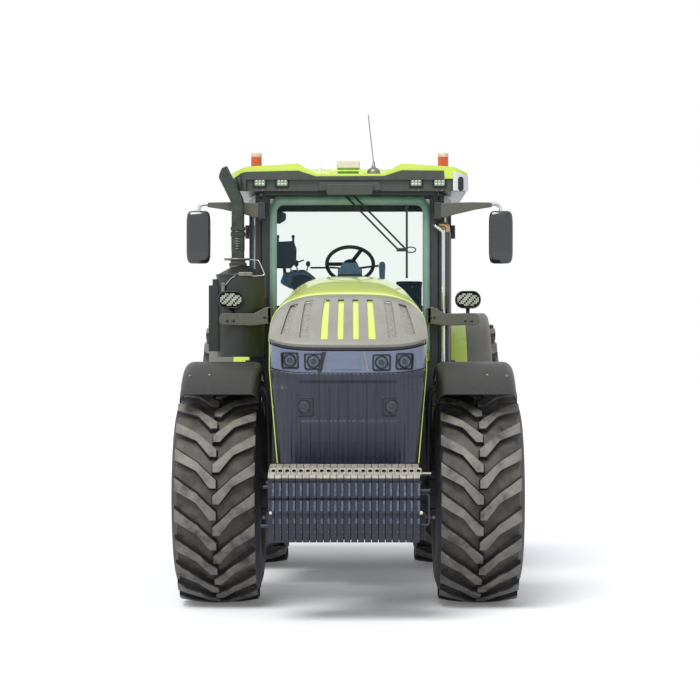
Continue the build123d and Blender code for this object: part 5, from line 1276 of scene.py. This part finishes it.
# ---- steering wheel and column -----------------------------------------------------------------
# A moulded rubber rim with three spokes sits on a facetted blue-grey binnacle over the column.
binnacle = mottled("moulded_binnacle", "#6C93AE", "#54788F", 20, 0.4, 0.05)
console_dark = mottled("moulded_console", "#33435C", "#28364C", 6, 0.5, 0.1)
binnacle_line = [(-0.062, 2.240), (-0.092, 2.295), (-0.092, 2.335), (-0.066, 2.355), (-0.056, 2.386),
                 (0.056, 2.386),
                 (0.066, 2.355), (0.092, 2.335), (0.092, 2.295), (0.062, 2.240)]


plate_between("column_binnacle", binnacle_line, 0.135, 0.225, 10, binnacle)
plate_between("column_shroud", [(-0.085, 1.385), (-0.095, 2.30), (0.095, 2.30), (0.085, 1.385)], 0.125,
              0.265, 14,
              console_dark, covers=["cab_consoles"])
bar_through("column_neck", [(0, 0.195, 2.255), (0, 0.30, 2.360)], 0.043, console_dark)
bar_through("column_stalk_left", [(0.05, 0.27, 2.345), (0.12, 0.27, 2.355), (0.215, 0.25, 2.365)], 0.008,
            rubber_grip)
bar_through("column_stalk_right", [(-0.05, 0.27, 2.345), (-0.12, 0.27, 2.352), (-0.30, 0.25, 2.350)], 0.007,
            rubber_grip)
hub_cap = turned("steering_wheel_cap", [(0.055, 0.0), (0.060, -0.012), (0.050, -0.024), (0.02, -0.029),
                                        (0, -0.03)], 32)
hub_cap.data.transform(Matrix.Translation((0, 0.320, 2.380)) @ Matrix.Rotation(math.radians(135), 4, "X"))
lay_out(hub_cap, console_dark, "steering_wheel")

# ---- armrest console, monitor and levers -------------------------------------------------------
# The driver's right armrest carries the controls on a sloping facetted console.
# A screen in a moulded case stands on a stem ahead of it, with two short posts on its top edge.
plate_between("armrest_console", [(-0.540, 2.245), (-0.510, 2.325), (-0.330, 2.335), (-0.262, 2.280),
                                  (-0.262, 2.240),
                                  (-0.36, 2.205), (-0.46, 2.205)], 0.52, 0.96, 16, binnacle)
plate_between("armrest_nose", [(-0.455, 2.240), (-0.440, 2.300), (-0.330, 2.304), (-0.290, 2.270),
                               (-0.310, 2.180),
                               (-0.380, 2.130), (-0.420, 2.150)], 0.50, 0.60, 12, console_dark)
plate_between("armrest_post", [(-0.420, 1.382), (-0.420, 2.215), (-0.360, 2.215), (-0.360, 1.382)], 0.79,
              0.89, 10,
              console_dark)
plate_between("armrest_pad", [(-0.470, 2.330), (-0.462, 2.350), (-0.348, 2.350), (-0.340, 2.330)], 0.68,
              0.95, 9,
              rubber_grip)
for number, (x, y, lean) in enumerate(((-0.395, 0.60, -0.02), (-0.345, 0.63, 0.02), (-0.440, 0.64, -0.03))):
    bar_through(f"lever_{number + 1}", [(x, y, 2.315), (x + lean, y - 0.01, 2.375)], 0.006, chrome)
    knob_line = [(0.006, 0.0), (0.016, 0.010), (0.018, 0.026), (0.012, 0.042), (0, 0.046)]
    knob = turned(f"lever_knob_{number + 1}", knob_line, 20)
    lay_out(stood_up(knob, Vector((x + lean, y - 0.01, 2.370))), console_dark)
bar_through("lever_crossbar", bent([(-0.425, 0.585, 2.425), (-0.400, 0.59, 2.405), (-0.360, 0.60, 2.422)],
                                   0.012), 0.006,
            console_dark)
plate_between("monitor_case", [(-0.583, 2.375), (-0.590, 2.520), (-0.560, 2.555), (-0.430, 2.562),
                               (-0.408, 2.500),
                               (-0.412, 2.400), (-0.450, 2.352), (-0.560, 2.352)], 0.430, 0.458, 9,
              console_dark)
screen_dark = mottled("black_screen_glass", "#101418", "#0B0E12", 60, 0.08, 0.0, coat=0.5)
plate_between("monitor_screen", [(-0.565, 2.385), (-0.565, 2.535), (-0.430, 2.535), (-0.430, 2.385)], 0.457,
              0.461, 2,
              screen_dark)
for number, x in enumerate((-0.552, -0.435)):
    bar_through(f"monitor_post_{number + 1}", [(x, 0.444, 2.55), (x, 0.444, 2.592)], 0.009, console_dark)
    tip_line = [(0.0, 0.0), (0.012, 0.006), (0.013, 0.018), (0.008, 0.026), (0, 0.028)]
    tip = turned(f"monitor_post_tip_{number + 1}", tip_line, 16)
    lay_out(stood_up(tip, Vector((x, 0.444, 2.580))), console_dark)
bar_through("monitor_stem", bent([(-0.505, 0.470, 2.40), (-0.505, 0.52, 2.35), (-0.500, 0.56, 2.30)], 0.05),
            0.013,
            console_dark)
plate_between("shuttle_lever", [(0.222, 2.255), (0.218, 2.375), (0.228, 2.398), (0.258, 2.398),
                                (0.268, 2.375),
                                             (0.262, 2.255)], 0.285, 0.315, 9, binnacle)
plate_between("side_mirror_inside", [(-0.585, 2.700), (-0.580, 2.752), (-0.520, 2.768), (-0.475, 2.748),
                                     (-0.478, 2.700),
                                     (-0.53, 2.668)], 0.06, 0.085, 9, console_dark)
plate_between("side_console", [(-0.585, 1.385), (-0.585, 1.96), (-0.44, 1.96), (-0.42, 1.385)], 0.60, 1.15,
              14,
              console_dark)
plate_between("passenger_pedestal", [(0.350, 1.382), (0.350, 1.926), (0.440, 1.926), (0.440, 1.382)], 0.66,
              0.90, 10,
              console_dark)

# ---- seats -------------------------------------------------------------------------------------
# The driver's seat is foam under a woven cover with piped seams, on an air suspension box.
# The passenger's folding seat has a thin padded back and pad.
seat_cover, tree = new_finish("woven_seat_cover")
place = add_node(tree, "TexCoord").outputs["Object"]
# a 4 mm weave, drawn coarser than the real 1.5 mm so that it shows
weft, warp = [add_node(tree, "TexWave", {"Scale": 1000 / 4 / 6.28, "Distortion": 0.4}, {"Vector": place},
                       bands_direction=along).outputs["Fac"] for along in ("X", "Z")]
weave = add_node(tree, "Math", operation="MULTIPLY", links={0: weft, 1: warp}).outputs[0]
faded = patches(tree, 70)
cloth_tone = add_node(tree, "Math", {1: 0.5}, {0: faded, 2: weave}, operation="MULTIPLY_ADD").outputs[0]
thread = mixed_colour(tree, cloth_tone, "#1E2A42", "#35486A")
relief = add_node(tree, "Bump", {"Strength": 0.4, "Distance": 0.001}, {"Height": weave})
skin = add_node(tree, "BsdfPrincipled", {"Roughness": 0.85, "Sheen Weight": 0.25, "Sheen Roughness": 0.5},
                {"Base Color": thread, "Normal": relief.outputs[0]})
add_node(tree, "OutputMaterial", links={"Surface": skin.outputs[0]})


def stuffed(name, low, high, bulge_mm, covers=()):
    """A foam pad: a rounded block blown up as cloth, so that it crowns between its corners."""
    size = Vector(high) - Vector(low)
    middle = (Vector(low) + Vector(high)) / 2
    shape = bmesh.new()
    bmesh.ops.create_cube(shape, size=1.0)
    bmesh.ops.scale(shape, vec=size - Vector((0.02, 0.02, 0.02)), verts=shape.verts)
    bmesh.ops.bevel(shape, geom=list(shape.edges), offset=min(size) * 0.3, segments=4, affect="EDGES",
                    profile=0.5)
    mesh = bpy.data.meshes.new(name)
    shape.to_mesh(mesh)
    shape.free()
    mesh.transform(Matrix.Translation(middle))
    pad = bpy.data.objects.new(name, mesh)
    bpy.context.scene.collection.objects.link(pad)
    remesh = pad.modifiers.new("remesh", "REMESH")
    remesh.mode = "VOXEL"
    remesh.voxel_size = 0.006 if min(size) < 0.08 else 0.009
    with bpy.context.temp_override(object=pad, active_object=pad):
        bpy.ops.object.modifier_apply(modifier="remesh")
    start = [v.co.copy() for v in pad.data.vertices]
    cloth = pad.modifiers.new("stuffing", "CLOTH")
    cloth.settings.use_pressure = True
    cloth.settings.uniform_pressure_force = 4
    cloth.settings.effector_weights.gravity = 0
    cloth.point_cache.frame_end = 20
    for frame_number in range(1, 21):
        bpy.context.scene.frame_set(frame_number)
    blown = pad.evaluated_get(bpy.context.evaluated_depsgraph_get())
    ends = [v.co.copy() for v in blown.data.vertices]
    pad.modifiers.remove(cloth)
    bpy.context.scene.frame_set(1)
    for vertex, was, end in zip(pad.data.vertices, start, ends):
        move = end - was
        reach = min(move.length, bulge_mm / 1000)
        vertex.co = was + move.normalized() * reach if move.length > 1e-6 else was
    finer = pad.modifiers.new("finer", "SUBSURF")
    finer.levels = 1
    finer.render_levels = 1
    for collection in pad.users_collection:
        collection.objects.unlink(pad)
    lay_out(pad, seat_cover, covers=covers)


stuffed("seat_cushion", (-0.228, 0.615, 1.705), (0.228, 1.06, 1.805), 22, ["operator_seat"])
stuffed("seat_backrest", (-0.222, 1.035, 1.80), (0.222, 1.13, 2.27), 22)
stuffed("seat_lumbar", (-0.17, 1.005, 1.84), (0.17, 1.06, 2.02), 12)
stuffed("passenger_pad", (0.343, 0.595, 1.932), (0.577, 0.94, 1.978), 10, ["passenger_seat"])
stuffed("passenger_backrest", (0.343, 0.892, 1.985), (0.577, 0.948, 2.288), 10)
for name, x0, x1, y, z0, z1 in (("seat_piping_back", -0.19, 0.19, 1.033, 1.86, 2.235),
                                ("passenger_piping", 0.366, 0.554, 0.8925, 2.01, 2.265)):
    corners = [(x0, y, z0), (x1, y, z0), (x1, y, z1), (x0, y, z1), (x0, y, z0)]
    bar_through(name, bent(corners, 0.03)[:-1], 0.003, rubber_grip, closed=True)
plate_between("seat_box", [(-0.168, 1.52), (-0.150, 1.70), (0.150, 1.70), (0.168, 1.52)], 0.70, 1.02, 12,
              console_dark)
for fold in range(6):
    z = 1.392 + fold * 0.024
    reach = 0.150 - 0.012 * (fold % 2)
    moulded_block(f"seat_bellows_{fold + 1}", (-reach, 0.86 - reach, z), (reach, 0.86 + reach, z + 0.022),
                  9,
                  rubber_grip)
pin = turned("passenger_seat_button", [(0.010, 0.004), (0.009, -0.003), (0, -0.005)], 16)
lay_out(set_at(pin, Vector((0.482, 0.890, 2.222))), binnacle)

# ---- fender bolts ------------------------------------------------------------------------------
# Each front fender is a moulded black arch bolted to its knuckle, so it steers with the wheel.
# Two steel bolt heads stand on the front of its moulding, set down on the surface itself.
bpy.context.view_layer.update()
bolt_line = [(0.011, 0.006), (0.011, -0.002), (0.006, -0.006), (0, -0.007)]
for hand, side in (("right", -1), ("left", 1)):
    fender = nodes[f"front_fender_{hand}"]
    inside = fender.matrix_world.inverted()
    along = inside.to_3x3() @ Vector((0, 1, 0))
    for number, (x, z) in enumerate(((0.93, 1.560), (1.06, 1.555))):
        spot = fender.ray_cast(inside @ Vector((side * x, -4.0, z)), along)[1]
        bolt = set_at(turned(f"fender_bolt_{hand}_{number + 1}", bolt_line, 12), fender.matrix_world @ spot)
        lay_out(bolt, brushed_steel, f"knuckle_{hand}")

# ---- wheel nuts --------------------------------------------------------------------------------
# Ten zinc-plated flanged nuts stand on the outer face of each wheel's hub, in a ring.
nut_steel = mottled("zinc_plated_nut", "#A9A8A2", "#8B8A84", 5, 0.4, 0.1, metallic=0.8)


def across_axle(piece, place, side):
    """Turns a mesh made about Y so that its face looks out along X, and puts it in place."""
    piece.data.transform(Matrix.Translation(place) @ Matrix.Rotation(math.radians(90 * side), 4, "Z"))
    return piece


hub_half_depth = 0.085
nut_line = [(0.020, 0.004), (0.020, -0.003), (0.015, -0.005), (0.015, -0.020), (0.010, -0.024), (0, -0.026)]
for end, disc_offset, circle in (("front", 0.010, 0.112), ("rear", 0.045, 0.150)):
    for hand, side in (("right", -1), ("left", 1)):
        low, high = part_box(f"{end}_rim_{hand}")
        middle = (low + high) / 2
        hub_x = middle.x - side * disc_offset + side * hub_half_depth
        for k in range(10):
            a = 2 * math.pi * k / 10
            spot = Vector((hub_x - side * 0.002, middle.y + circle * math.cos(a),
                           middle.z + circle * math.sin(a)))
            nut = turned(f"{end}_nut_{hand}_{k + 1}", nut_line, 6)
            lay_out(across_axle(nut, spot, side), nut_steel, f"{end}_wheel_{hand}")
